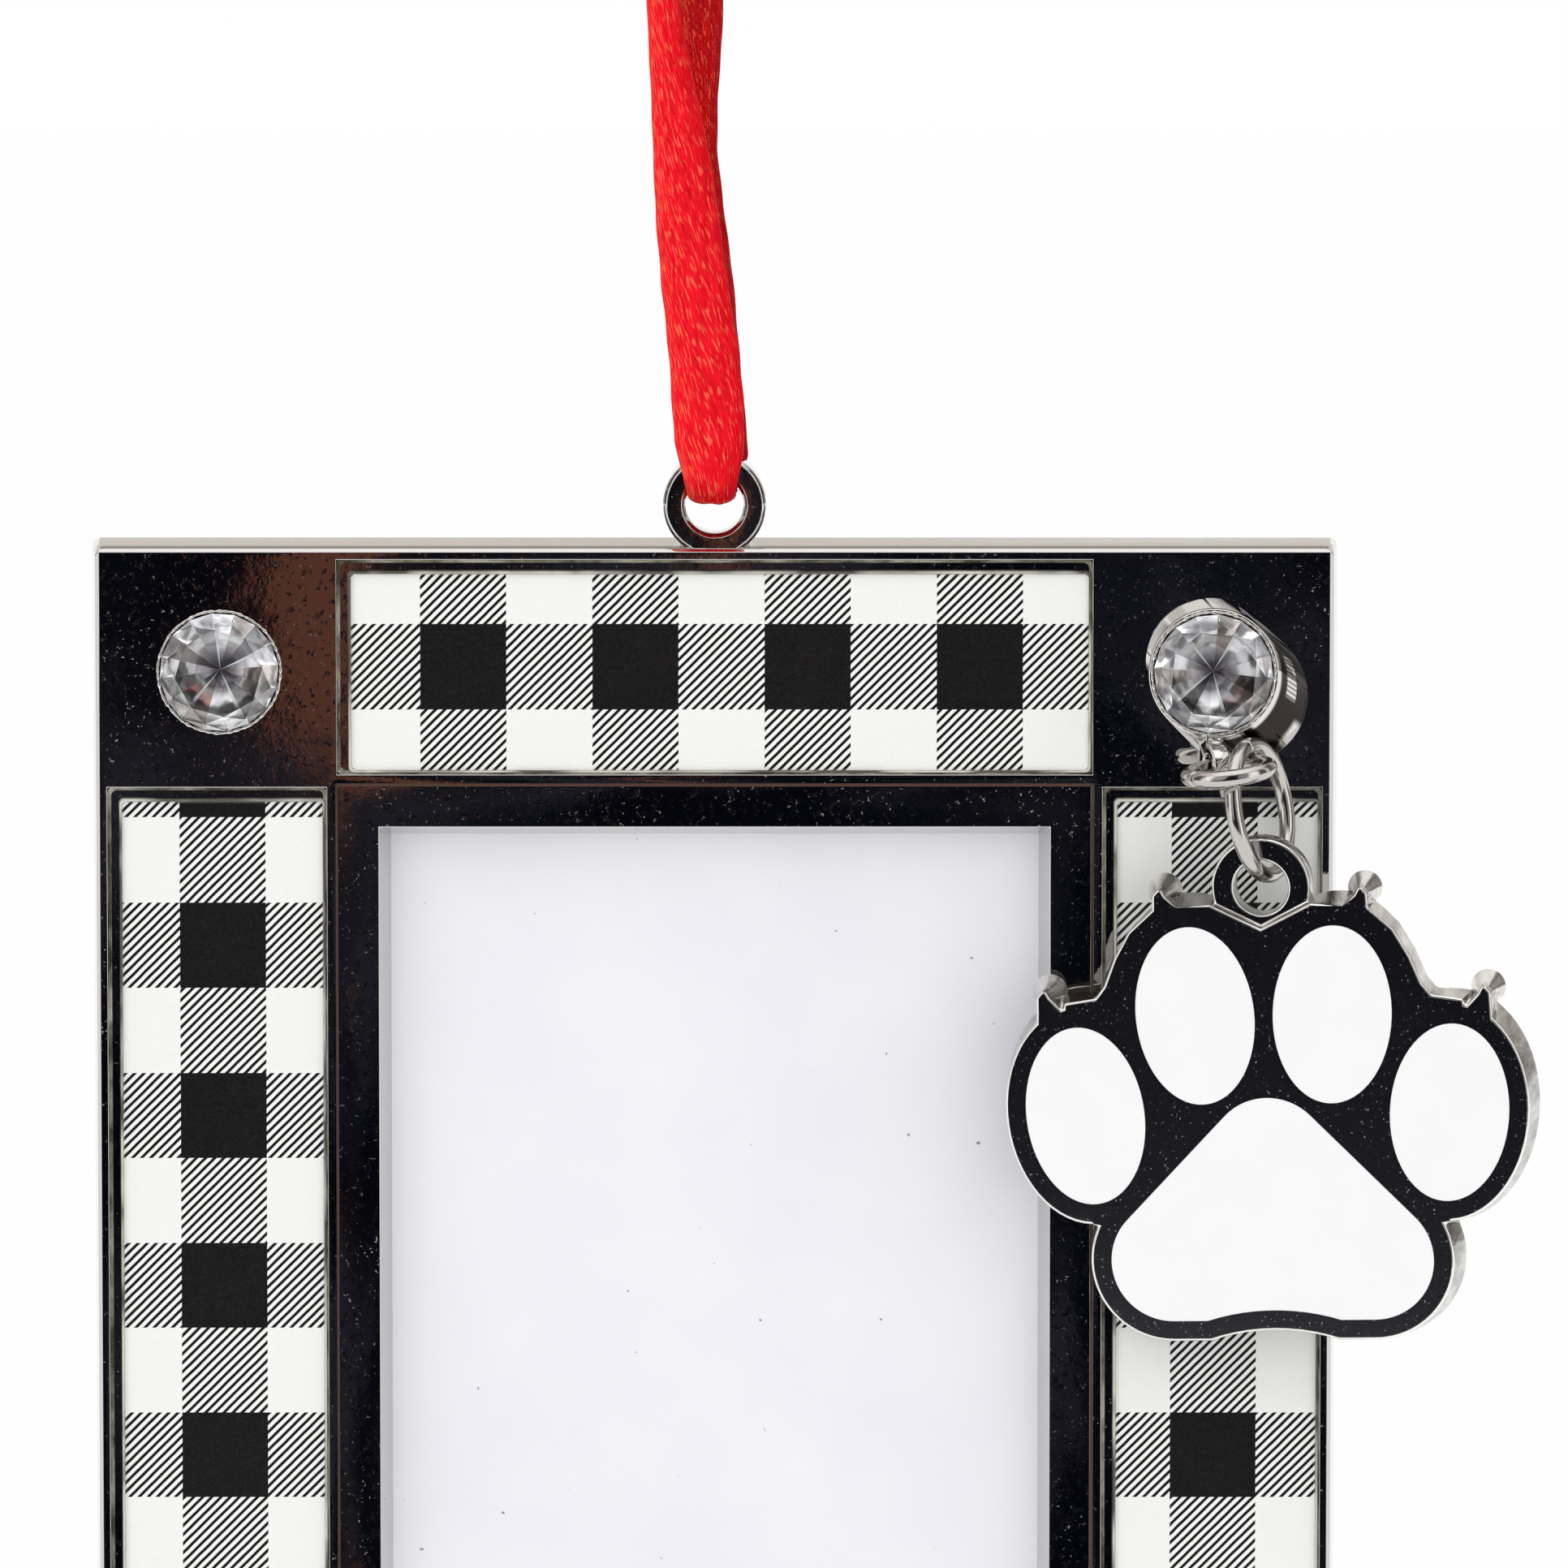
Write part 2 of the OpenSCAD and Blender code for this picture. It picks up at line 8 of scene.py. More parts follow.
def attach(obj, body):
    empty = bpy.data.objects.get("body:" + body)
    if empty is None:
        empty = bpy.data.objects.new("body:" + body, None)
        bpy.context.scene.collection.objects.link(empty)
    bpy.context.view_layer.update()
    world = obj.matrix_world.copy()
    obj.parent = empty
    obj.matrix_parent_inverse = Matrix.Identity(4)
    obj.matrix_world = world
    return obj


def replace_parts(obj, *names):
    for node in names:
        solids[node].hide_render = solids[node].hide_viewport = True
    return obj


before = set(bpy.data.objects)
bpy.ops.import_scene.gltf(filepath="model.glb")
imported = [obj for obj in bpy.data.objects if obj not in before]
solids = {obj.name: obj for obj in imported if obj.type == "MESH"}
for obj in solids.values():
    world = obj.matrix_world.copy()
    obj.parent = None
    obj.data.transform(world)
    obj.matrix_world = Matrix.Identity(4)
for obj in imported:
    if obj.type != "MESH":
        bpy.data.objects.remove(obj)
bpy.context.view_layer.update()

# The room
# A white table-top studio: a pale floor below the hanging ornament, white all round,
# and an unlit side behind the camera, which is what the flat plated faces mirror.
floor_z, floor_half, floor_front = -0.235, 3, -0.45
photo_pixels, focal_pixels = 1932, 17560
look_at = Vector((0.0037, -0.00165, -0.0656))
look_down = math.radians(6.5)
view_distance = 0.76

camera = bpy.data.objects.new("camera", bpy.data.cameras.new("camera"))
bpy.context.scene.collection.objects.link(camera)
camera.data.sensor_width = 36
camera.data.lens = camera.data.sensor_width * focal_pixels / photo_pixels
camera.data.clip_start, camera.data.clip_end = 0.05, 20
camera.location = look_at + view_distance * Vector((0, -math.cos(look_down), math.sin(look_down)))
camera.rotation_euler = (math.pi / 2 - look_down, 0, 0)
bpy.context.scene.camera = camera
bpy.context.scene.view_settings.view_transform = "Standard"


def finish_of(name):
    """A new material with its node tree and its Principled shader."""
    made = bpy.data.materials.new(name)
    made.use_nodes = True
    return made, made.node_tree, made.node_tree.nodes["Principled BSDF"]


def put(tree, target, value):
    """Joins an output to an input, or writes a plain number or colour there."""
    if isinstance(value, bpy.types.NodeSocket):
        tree.links.new(value, target)
    elif hasattr(value, "__len__") and len(value) == 3 and len(target.default_value) == 4:
        target.default_value = (*value, 1)
    else:
        target.default_value = value


def node(tree, kind):
    """A new shader node of that kind."""
    return tree.nodes.new("ShaderNode" + kind)


def paint(tree, shader, tone):
    """The surface's colour."""
    put(tree, shader.inputs["Base Color"], tone)


def plain(n, **values):
    """Plain numbers and colours for a node's sockets."""
    for name, value in values.items():
        n.inputs[name.replace("_", " ")].default_value = value


def sums(tree, operation, *values):
    """One Math node on numbers or sockets."""
    n = node(tree, "Math")
    n.operation = operation
    for i, v in enumerate(values):
        put(tree, n.inputs[i], v)
    return n.outputs[0]


def times(tree, first, second):
    """Their product."""
    return sums(tree, "MULTIPLY", first, second)


def apart(tree, first, second):
    """How far two values are apart: the size of first - second."""
    return sums(tree, "ABSOLUTE", sums(tree, "SUBTRACT", first, second))


def rest_of(tree, share):
    """1 - share."""
    return sums(tree, "SUBTRACT", 1.0, share)


def axes(tree, vector):
    """The X, Y and Z of a vector."""
    n = node(tree, "SeparateXYZ")
    put(tree, n.inputs[0], vector)
    return n.outputs["X"], n.outputs["Y"], n.outputs["Z"]


def towards(tree, vector, aim):
    """How far a vector points along the aim: their dot product."""
    n = node(tree, "VectorMath")
    n.operation = "DOT_PRODUCT"
    n.inputs[1].default_value = aim
    put(tree, n.inputs[0], vector)
    return n.outputs["Value"]


def blend(tree, share, first, second, kind="RGBA", mode="MIX"):
    """Mix node: first where share is 0, second where it is 1."""
    n = node(tree, "Mix")
    n.data_type = kind
    if kind == "RGBA":
        n.blend_type = mode
    a, b, out = {"RGBA": (6, 7, 2), "FLOAT": (2, 3, 0)}[kind]
    put(tree, n.inputs[0], share)
    put(tree, n.inputs[a], first)
    put(tree, n.inputs[b], second)
    return n.outputs[out]


def spread(tree, value, low, high, to_low=0.0, to_high=1.0, smooth=False):
    """Map Range node from low..high to to_low..to_high, held at its ends."""
    n = node(tree, "MapRange")
    n.interpolation_type = "SMOOTHSTEP" if smooth else "LINEAR"
    for i, v in enumerate((value, low, high, to_low, to_high)):
        put(tree, n.inputs[i], v)
    return n.outputs[0]


def ease(*values):
    """As spread, with a soft start and end."""
    return spread(*values, smooth=True)


def grain(tree, where, size, detail=3.0, rough=0.5, stretch=None):
    """Noise whose lumps are about size metres across, at the given coordinates."""
    n = node(tree, "TexNoise")
    if stretch is not None:
        m = node(tree, "Mapping")
        plain(m, Scale=stretch)
        put(tree, m.inputs["Vector"], where)
        where = m.outputs[0]
    put(tree, n.inputs["Vector"], where)
    plain(n, Scale=1 / size, Detail=detail, Roughness=rough)
    return n.outputs[0]


def raised(tree, shader, height, depth, strength=1.0, under=None):
    """Bump from a height of 0 to 1 that stands for depth metres."""
    n = node(tree, "Bump")
    plain(n, Strength=strength, Distance=depth)
    put(tree, n.inputs["Height"], height)
    if under is not None:
        put(tree, n.inputs["Normal"], under)
    if shader is not None:
        put(tree, shader.inputs["Normal"], n.outputs[0])
    return n.outputs[0]


def place_on(tree, kind="Object"):
    """The piece's own coordinates: Object, UV or Normal."""
    return node(tree, "TexCoord").outputs[kind]


world = bpy.data.worlds.new("studio")
bpy.context.scene.world = world
world.use_nodes = True
tree = world.node_tree
tree.nodes.clear()
direction = node(tree, "TexCoord").outputs["Generated"]
right_of, behind, above = axes(tree, direction)
turn = sums(tree, "ARCTAN2", right_of, times(tree, behind, -1.0))
beside = sums(tree, "ABSOLUTE", turn)
# Round the compass from the camera: an unlit room, a tall screen on each side, a brown gap and the
# white backdrop. Angles are in radians from the camera's side
screen = ease(tree, beside, 0.74, 0.88)
gap = times(tree, ease(tree, beside, 1.24, 1.34), ease(tree, beside, 2.62, 2.48))
slot = times(tree, ease(tree, beside, 1.70, 1.76), ease(tree, beside, 1.98, 1.90))
gap = sums(tree, "SUBTRACT", gap, times(tree, slot, 0.8))
streak = grain(tree, direction, 1 / 9, 2.0, 0.6, (1.0, 1.0, 0.25))
gap = times(tree, gap, spread(tree, streak, 0.35, 0.55, 0.8, 1.0))
lit = blend(tree, screen, (0.0, 0.0, 0.0), (1.0, 0.985, 0.965))
lit = blend(tree, gap, lit, (0.075, 0.058, 0.050))
# A warm grey shelf stands behind and above, which the frame's top wall mirrors in streaks
level = times(tree, ease(tree, above, 0.10, 0.16), ease(tree, above, 0.55, 0.42))
shelf = times(tree, ease(tree, behind, 0.5, 0.8), level)
things_on_it = grain(tree, direction, 1 / 14, 2.0, 0.6, (0.3, 1.0, 2.2))
shelf = times(tree, shelf, spread(tree, things_on_it, 0.35, 0.6, 0.35, 1.0))
lit = blend(tree, shelf, lit, (0.70, 0.66, 0.59))
overhead = ease(tree, above, 0.62, 0.80)
lit = blend(tree, overhead, lit, (0.92, 0.91, 0.90))
below = ease(tree, above, -0.55, -0.75)
lit = blend(tree, below, lit, (0.55, 0.52, 0.50))
# The unlit room holds warm wooden things. The flat front mirrors them as upright brown bands: each
# row is a band's place across the room, its half width and its strength
unlit = ease(tree, towards(tree, direction, Vector((0, -1, -0.11)).normalized()), 0.66, 0.80)
wood = times(tree, grain(tree, direction, 1 / 160, 3.0, 0.65), 0.6)
for place, half, share in ((-0.0328, 0.0054, 0.75), (0.0196, 0.0036, 0.36),
                           (-0.0500, 0.0030, 0.36), (-0.0042, 0.0028, 0.56)):
    off = apart(tree, right_of, place)
    wood = sums(tree, "ADD", wood, ease(tree, off, half, half * 0.5, 0.0, share))
wood = sums(tree, "ADD", wood, ease(tree, above, -0.1135, -0.108, -0.35, 0.0))
patches = ease(tree, wood, 0.72, 0.95)
haze = ease(tree, grain(tree, direction, 1 / 60, 2.0, 0.6), 0.42, 0.66)
shade = blend(tree, haze, (0.0025, 0.0030, 0.0055), (0.020, 0.021, 0.029))
shade = blend(tree, patches, shade, (0.125, 0.048, 0.032))
rays = node(tree, "LightPath")
# The cut stones gather lamps and windows of the room that the flat plating doesn't mirror
lamps = ease(tree, grain(tree, direction, 1 / 3.2, 1.0, 0.6), 0.44, 0.50)
gathered = blend(tree, lamps, (0.07, 0.06, 0.065), (1.5, 1.5, 1.5))
shade = blend(tree, spread(tree, rays.outputs["Transmission Depth"], 0.0, 1.0), shade, gathered)
mirrored = blend(tree, unlit, lit, shade)
soft = blend(tree, rays.outputs["Is Diffuse Ray"], mirrored, (0.88, 0.88, 0.88))
seen = blend(tree, rays.outputs["Is Camera Ray"], soft, (1.0, 1.0, 1.0))
shine = node(tree, "Background")
put(tree, shine.inputs["Color"], seen)
sky_out = node(tree, "OutputWorld")
tree.links.new(shine.outputs[0], sky_out.inputs[0])

aim = (0.0, 0.0, -0.09)
for name, place, size, power in (("key_left", (-0.55, -0.75, 0.25), 0.9, 1.1),
                                 ("fill_right", (0.65, -0.6, 0.1), 0.9, 0.8),
                                 ("top", (0.0, -0.1, 0.7), 0.8, 0.7)):
    lamp = bpy.data.objects.new(name, bpy.data.lights.new(name, "AREA"))
    bpy.context.scene.collection.objects.link(lamp)
    lamp.data.size, lamp.data.energy = size, power
    lamp.location = place
    lamp.rotation_euler = (Vector(aim) - Vector(place)).to_track_quat("-Z", "Y").to_euler()

ground = bpy.data.meshes.new("floor")
floor_corners = [(-floor_half, floor_front), (floor_half, floor_front),
                 (floor_half, floor_half), (-floor_half, floor_half)]
ground.from_pydata([(x, y, floor_z) for x, y in floor_corners], [], [(0, 1, 2, 3)])
floor = bpy.data.objects.new("floor", ground)
bpy.context.scene.collection.objects.link(floor)
pale, tree, shader = finish_of("pale_floor")
plain(shader, Base_Color=(0.86, 0.86, 0.86, 1), Roughness=0.7)
rays = node(tree, "LightPath")
glow = node(tree, "Emission")
plain(glow, Color=(1, 1, 1, 1), Strength=1.0)
glow_share = 0.97
both = node(tree, "MixShader")
direct = sums(tree, "MAXIMUM", rays.outputs["Is Camera Ray"],
              sums(tree, "MAXIMUM", rays.outputs["Is Glossy Ray"], rays.outputs["Is Transmission Ray"]))
put(tree, both.inputs[0], times(tree, direct, glow_share))
tree.links.new(shader.outputs[0], both.inputs[1])
tree.links.new(glow.outputs[0], both.inputs[2])
tree.links.new(both.outputs[0], tree.nodes["Material Output"].inputs[0])
ground.materials.append(pale)


# The ribbon
# Satin ribbon, folded lengthwise and threaded through the eyelet. Both legs run up side by
# side to a knot just above the photograph's edge and go on as a small loop over the hook.
def piece_of(name, points, faces, uv=None, smooth=True):
    """A mesh object from points (n, 3) in metres and quads or triangles, with an optional UV per point."""
    mesh = bpy.data.meshes.new(name)
    mesh.from_pydata(np.asarray(points, float).tolist(), [], [list(map(int, f)) for f in faces])
    if uv is not None:
        layer = mesh.uv_layers.new(name="surface")
        corner = np.zeros(len(mesh.loops), int)
        mesh.loops.foreach_get("vertex_index", corner)
        layer.data.foreach_set("uv", np.asarray(uv, float)[corner].ravel())
    mesh.polygons.foreach_set("use_smooth", np.full(len(mesh.polygons), smooth))
    mesh.update()
    made = bpy.data.objects.new(name, mesh)
    bpy.context.scene.collection.objects.link(made)
    return made


def faces_out(mesh):
    """Turns every face of a closed mesh to look away from its inside."""
    work = bmesh.new()
    work.from_mesh(mesh)
    bmesh.ops.recalc_face_normals(work, faces=work.faces)
    work.to_mesh(mesh)
    work.free()


def tube_faces(rings, sides, closed=False):
    """Quads between successive rings of points, which join in a circle if closed."""
    i = np.arange(rings if closed else rings - 1)[:, None]
    k = np.arange(sides)[None, :]
    a, b = i * sides, ((i + 1) % rings) * sides
    return np.stack([a + k, a + (k + 1) % sides, b + (k + 1) % sides, b + k], -1).reshape(-1, 4)


def smooth_line(points, count):
    """Points evenly spaced along a curve through the given ones, and how far along each lies: a cubic
    from point to point, whose slope at a point is the weighted mean of the slopes on its two sides."""
    p = np.asarray(points, float)
    step = np.linalg.norm(np.diff(p, axis=0), axis=1)
    at = np.concatenate([[0], np.cumsum(step)])
    slope = np.gradient(p, at, axis=0)
    s = np.linspace(0, at[-1], count * 4)
    i = np.clip(np.searchsorted(at, s, side="right") - 1, 0, len(p) - 2)
    h = (at[i + 1] - at[i])[:, None]
    t = ((s - at[i]) / (at[i + 1] - at[i]))[:, None]
    q = ((2 * t**3 - 3 * t**2 + 1) * p[i] + (t**3 - 2 * t**2 + t) * h * slope[i]
         + (3 * t**2 - 2 * t**3) * p[i + 1] + (t**3 - t**2) * h * slope[i + 1])
    run = np.concatenate([[0], np.cumsum(np.linalg.norm(np.diff(q, axis=0), axis=1))])
    spaced = np.linspace(0, run[-1], count)
    return np.stack([np.interp(spaced, run, q[:, j]) for j in range(3)], 1), spaced


ribbon_route = 0.001 * np.array([
    [0, -0.2, -50.05], [0, -1.3, -50.1], [-0.1, -2.1, -49.5], [-0.2, -2.2, -48.2],
    [-0.4, -2.2, -46], [-0.5, -2.1, -43], [-0.6, -2, -39], [-0.9, -1.7, -35],
    [-1.2, -1.5, -31], [-1.4, -1.3, -27], [-1.5, -1.1, -23], [-1.5, -0.7, -19.5],
    [-1.4, -0.9, -16], [-1.1, -2.4, -12], [-0.7, -3.6, -8], [-0.3, -3.4, -4],
    [-0.1, -2, -1], [0, 0, 0.3], [-0.1, 2, -1], [-0.3, 3.4, -4],
    [-0.7, 3.6, -8], [-1.1, 2.4, -12], [-1.4, 0.9, -16], [-1.5, 0.7, -19.5],
    [-1.4, 1.1, -23], [-1.1, 1.3, -27], [-0.8, 1.5, -31], [-0.4, 1.7, -35],
    [0, 2, -39], [0.2, 2.1, -43], [0.3, 2.2, -46], [0.2, 2.2, -48.2],
    [0.1, 2.1, -49.5], [0, 1.3, -50.1], [0, 0.2, -50.05]])
# Along the visible front leg, from the eyelet up: height, left and right edge in millimetres
front_edges = np.array([
    [-50.1, -1.45, 1.15], [-49.3, -1.62, 1.3], [-48.2, -1.85, 1.5], [-47, -2.15, 1.62], [-45, -2.27, 1.55],
    [-42.6, -2.42, 1.35], [-39, -2.8, 0.75], [-35.2, -3.12, 0.2], [-32, -3.25, -0.25],
    [-29, -3.35, -0.9], [-26, -3.5, -1.5], [-23.5, -3.6, -1.9], [-19, -3.3, -1.0], [-15, -3.0, 0.2]])
back_edges = np.array([
    [-50.1, -1.1, 1.2], [-49.3, -1.2, 1.5], [-48.2, -1.3, 1.8], [-47, -1.4, 1.72], [-45, -1.9, 1.5],
    [-42.6, -2.2, 1.3], [-39, -2.4, 1.0], [-35.2, -2.2, 0.5], [-32, -2.0, 0.15],
    [-29, -1.9, 0.2], [-26, -2.1, 0.42], [-23.5, -2.2, 0.5], [-19, -1.8, 0.4], [-15, -2.4, 0.6]])

centre, run = smooth_line(ribbon_route, 520)
total = run[-1]
height = centre[:, 2] * 1000
on_front = run < 0.5 * total
left = np.where(on_front, np.interp(height, front_edges[:, 0], front_edges[:, 1]),
                np.interp(height, back_edges[:, 0], back_edges[:, 1])) * 0.001
right = np.where(on_front, np.interp(height, front_edges[:, 0], front_edges[:, 2]),
                 np.interp(height, back_edges[:, 0], back_edges[:, 2])) * 0.001
# Above the knot the edges give way to one plain width, over 4 mm from a height of -19 mm
loop_half_wide = 0.00170
near_loop = np.clip((height + 19) / 4, 0, 1)
near_loop = near_loop * near_loop * (3 - 2 * near_loop)
half_wide = (1 - near_loop) * (right - left) / 2 + near_loop * loop_half_wide
middle_x = (1 - near_loop) * (right + left) / 2 + near_loop * centre[:, 0]
tangent = np.gradient(centre, axis=0)
tangent /= np.linalg.norm(tangent, axis=1)[:, None]
out = np.cross(tangent, [1.0, 0, 0])
out /= np.linalg.norm(out, axis=1)[:, None]
line = centre.copy()
line[:, 0] = middle_x
across = np.cross(out, tangent)
sides = 56
turn = np.linspace(0, 2 * np.pi, sides, endpoint=False)[None, :]
s = (run / total)[:, None]
mm = run[:, None] * 1000
# Flat oval with a fold along it: the oval's thickness swells off-centre, one flap lies on top, and
# shallow creases run slantwise along the ribbon
flat = np.sign(np.cos(turn)) * np.abs(np.cos(turn)) ** 0.85
thick = 0.00046 + 0.00010 * np.sin(mm * 0.33 + 1) + 0.00006 * np.sin(mm * 0.81)
crease = (0.045 * np.sin(5 * turn + mm * 0.62) + 0.03 * np.sin(9 * turn - mm * 0.9 + 1.3)
          + 0.02 * np.sin(14 * turn + mm * 1.7))
fold = 0.30 * np.exp(-((np.cos(turn) - 0.35 * np.sin(mm * 0.12 + 0.6)) / 0.16) ** 2) * (np.sin(turn) > 0)
level = np.sin(turn) * (1 + crease) + fold
pinch = np.interp(height, [-50.2, -49.4, -47.5, -45], [0.95, 0.85, 1.0, 1.1])[:, None] * np.ones_like(mm)
sideways = half_wide[:, None] * flat * (1 + 0.012 * np.sin(mm * 2.1))
outwards = thick * pinch * level
surface = line[:, None, :] + across[:, None, :] * sideways[..., None] + out[:, None, :] * outwards[..., None]
uv = np.stack([np.broadcast_to(turn / (2 * np.pi), surface.shape[:2]),
               np.broadcast_to(mm, surface.shape[:2])], -1)
rings = len(run)
caps = [list(range(sides))[::-1], [(rings - 1) * sides + k for k in range(sides)]]
ribbon = piece_of("satin_ribbon", surface.reshape(-1, 3),
                  tube_faces(rings, sides).tolist() + caps, uv.reshape(-1, 2))
faces_out(ribbon.data)


def satin(name, tone, deep, weave):
    """Red satin: threads run slantwise round the folded ribbon; the light they catch is painted in as short
    lighter streaks, the side facing left is painted lighter and the underside painted darker. weave is how
    far the woven reverse shows instead."""
    made, tree, shader = finish_of(name)
    around, along, _ = axes(tree, place_on(tree, "UV"))
    slant = sums(tree, "ADD", times(tree, around, 8.6), times(tree, along, 0.16))
    join = node(tree, "CombineXYZ")
    put(tree, join.inputs[0], slant)
    put(tree, join.inputs[1], along)
    threads = grain(tree, join.outputs[0], 1.0, 2.0, 0.6, (9.0, 0.75, 1.0))
    floats = grain(tree, join.outputs[0], 1.0, 1.0, 0.5, (13.0, 1.2, 1.0))
    rows = sums(tree, "SINE", times(tree, along, 15.0))
    ribs = times(tree, sums(tree, "SINE", times(tree, around, 150.0)), rows)
    faces_right, _, faces_up = axes(tree, node(tree, "NewGeometry").outputs["Normal"])
    # Painted light: the side facing left is painted lighter
    painted_lit_side = spread(tree, faces_right, 0.55, -0.65)
    light = sums(tree, "ADD", threads, times(tree, painted_lit_side, 0.36))
    body = blend(tree, spread(tree, light, 0.42, 0.80), deep, tone)
    # Painted shade: the underside is painted darker
    body = blend(tree, spread(tree, faces_up, -0.05, -0.7, 0.0, 0.8), body, deep)
    # Painted highlight: short lighter streaks of sheen where the threads catch the light
    painted_sheen = sums(tree, "ADD", floats, times(tree, painted_lit_side, 0.13))
    painted_sheen = ease(tree, painted_sheen, 0.61, 0.72)
    body = blend(tree, times(tree, painted_sheen, 0.6), body, (1.0, 0.19, 0.09))
    body = blend(tree, times(tree, spread(tree, ribs, -0.2, -0.9), weave), body, deep)
    paint(tree, shader, body)
    put(tree, shader.inputs["Roughness"], spread(tree, threads, 0.3, 0.7, 0.5, 0.36))
    plain(shader, Specular_IOR_Level=0.06)
    lift = sums(tree, "ADD", threads, times(tree, ribs, weave * 0.5))
    raised(tree, shader, lift, 0.00006, 0.9)
    return made


ribbon.data.materials.append(satin("red_satin_face", (1.0, 0.008, 0.022), (0.58, 0.0, 0.006), 0.0))
ribbon.data.materials.append(satin("red_satin_reverse", (0.74, 0.006, 0.010), (0.34, 0.001, 0.004), 0.8))
# The back leg shows the reverse of the weave
reverse_from = int(rings * 0.62)
which = np.zeros(len(ribbon.data.polygons), np.int32)
which[reverse_from * sides:(rings - 1) * sides] = 1
ribbon.data.polygons.foreach_set("material_index", which)

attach(ribbon, "frame")
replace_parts(ribbon, "ribbon")


# The knot: two flat wraps of the same ribbon round both legs, pulled tight, one over the other.
wrap_rings, wrap_sides = 96, 24


def wrap(centre, half_w, half_t, width, tilt, start, lift):
    """A band carried once round an oval: its section is a flat oval, and it crosses the legs at a slant."""
    a = np.linspace(0, 2 * np.pi, wrap_rings + 1)[:-1][:, None]
    b = np.linspace(0, 2 * np.pi, wrap_sides + 1)[:-1][None, :]
    swell = 1 + 0.10 * np.sin(3 * a + start) + 0.04 * np.sin(7 * a)
    radial = 0.00042 * np.sin(b) * (1 + 0.25 * np.sin(4 * b + 3 * a))
    x = (half_w * swell + radial) * np.cos(a)
    y = (half_t * swell + radial) * np.sin(a)
    z = width / 2 * np.cos(b) * swell + tilt * x + lift * np.sin(a)
    p = np.stack([x + centre[0], y + centre[1], z + centre[2]], -1)
    uv = np.stack([np.broadcast_to(b / (2 * np.pi), p.shape[:2]),
                   np.broadcast_to(a * half_w * 1000, p.shape[:2])], -1)
    return p.reshape(-1, 3), tube_faces(wrap_rings, wrap_sides, closed=True), uv.reshape(-1, 2)


wraps = [wrap((-0.0015, 0, -0.0194), 0.0024, 0.0015, 0.0026, 0.16, 0.4, 0.0003),
         wrap((-0.0015, 0, -0.0172), 0.0023, 0.00145, 0.0025, -0.2, 2.0, -0.0003)]
count = len(wraps[0][0])
knot = piece_of("ribbon_knot_wraps", np.concatenate([w[0] for w in wraps]),
                np.concatenate([w[1] + i * count for i, w in enumerate(wraps)]),
                np.concatenate([w[2] for w in wraps]))
faces_out(knot.data)
knot.data.materials.append(ribbon.data.materials[0])
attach(knot, "frame")
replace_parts(knot, "ribbon_knot")

# Frame casting
# Die-cast zinc with bright plating: a flat face with four recesses, a raised moulding round
# the opening, round seats for the stones and an eyelet cast on top. Its edges are tumbled soft.
frame_top, frame_wide, frame_tall, face_y = -0.053, 0.066, 0.084, -0.00165
frame_middle = frame_top - frame_tall / 2
corner_round, wall_front, wall_lean = 0.0005, -0.00145, 0.289 / 3.1


def tumbled(part, name, width, steps=2, angle=24, weld=2e-6, seams=False, corners=()):
    """A copy of a solid, merged and (unless seams stay) freed of flat seams, whose sharp edges get a round
    of the given width. Each of the corners (x, z, side, up) is first cut round by five planes, which touch
    the corner's circle at 15 to 75 degrees and lean out with the walls."""
    mesh = solids[part].data.copy()
    mesh.name = name
    mesh.materials.clear()
    made = bpy.data.objects.new(name, mesh)
    bpy.context.scene.collection.objects.link(made)
    work = bmesh.new()
    work.from_mesh(mesh)
    bmesh.ops.remove_doubles(work, verts=work.verts, dist=weld)
    for x, z, side, up in corners:
        for tilt in np.radians([15, 30, 45, 60, 75]):
            out = Vector((side * math.cos(tilt), 0, up * math.sin(tilt)))
            hub = Vector((x - side * corner_round, wall_front, z - up * corner_round))
            lean = Vector((0, -wall_lean * (math.cos(tilt) + math.sin(tilt)), 0))
            bmesh.ops.bisect_plane(work, geom=[*work.verts, *work.edges, *work.faces], dist=1e-8,
                                   plane_co=hub + out * corner_round, plane_no=out + lean, clear_outer=True)
            bmesh.ops.holes_fill(work, edges=[e for e in work.edges if e.is_boundary])
    if not seams:
        bmesh.ops.dissolve_limit(work, angle_limit=math.radians(0.6), verts=work.verts, edges=work.edges)
    work.to_mesh(mesh)
    work.free()
    mesh.polygons.foreach_set("use_smooth", np.ones(len(mesh.polygons), bool))
    soften = made.modifiers.new("edges", "BEVEL")
    soften.width, soften.segments, soften.limit_method = width, steps, "ANGLE"
    soften.angle_limit = math.radians(angle)
    soften.use_clamp_overlap = False
    level = made.modifiers.new("flats", "WEIGHTED_NORMAL")
    level.mode, level.weight, level.keep_sharp = "FACE_AREA", 100, False
    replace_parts(made, part)
    return made


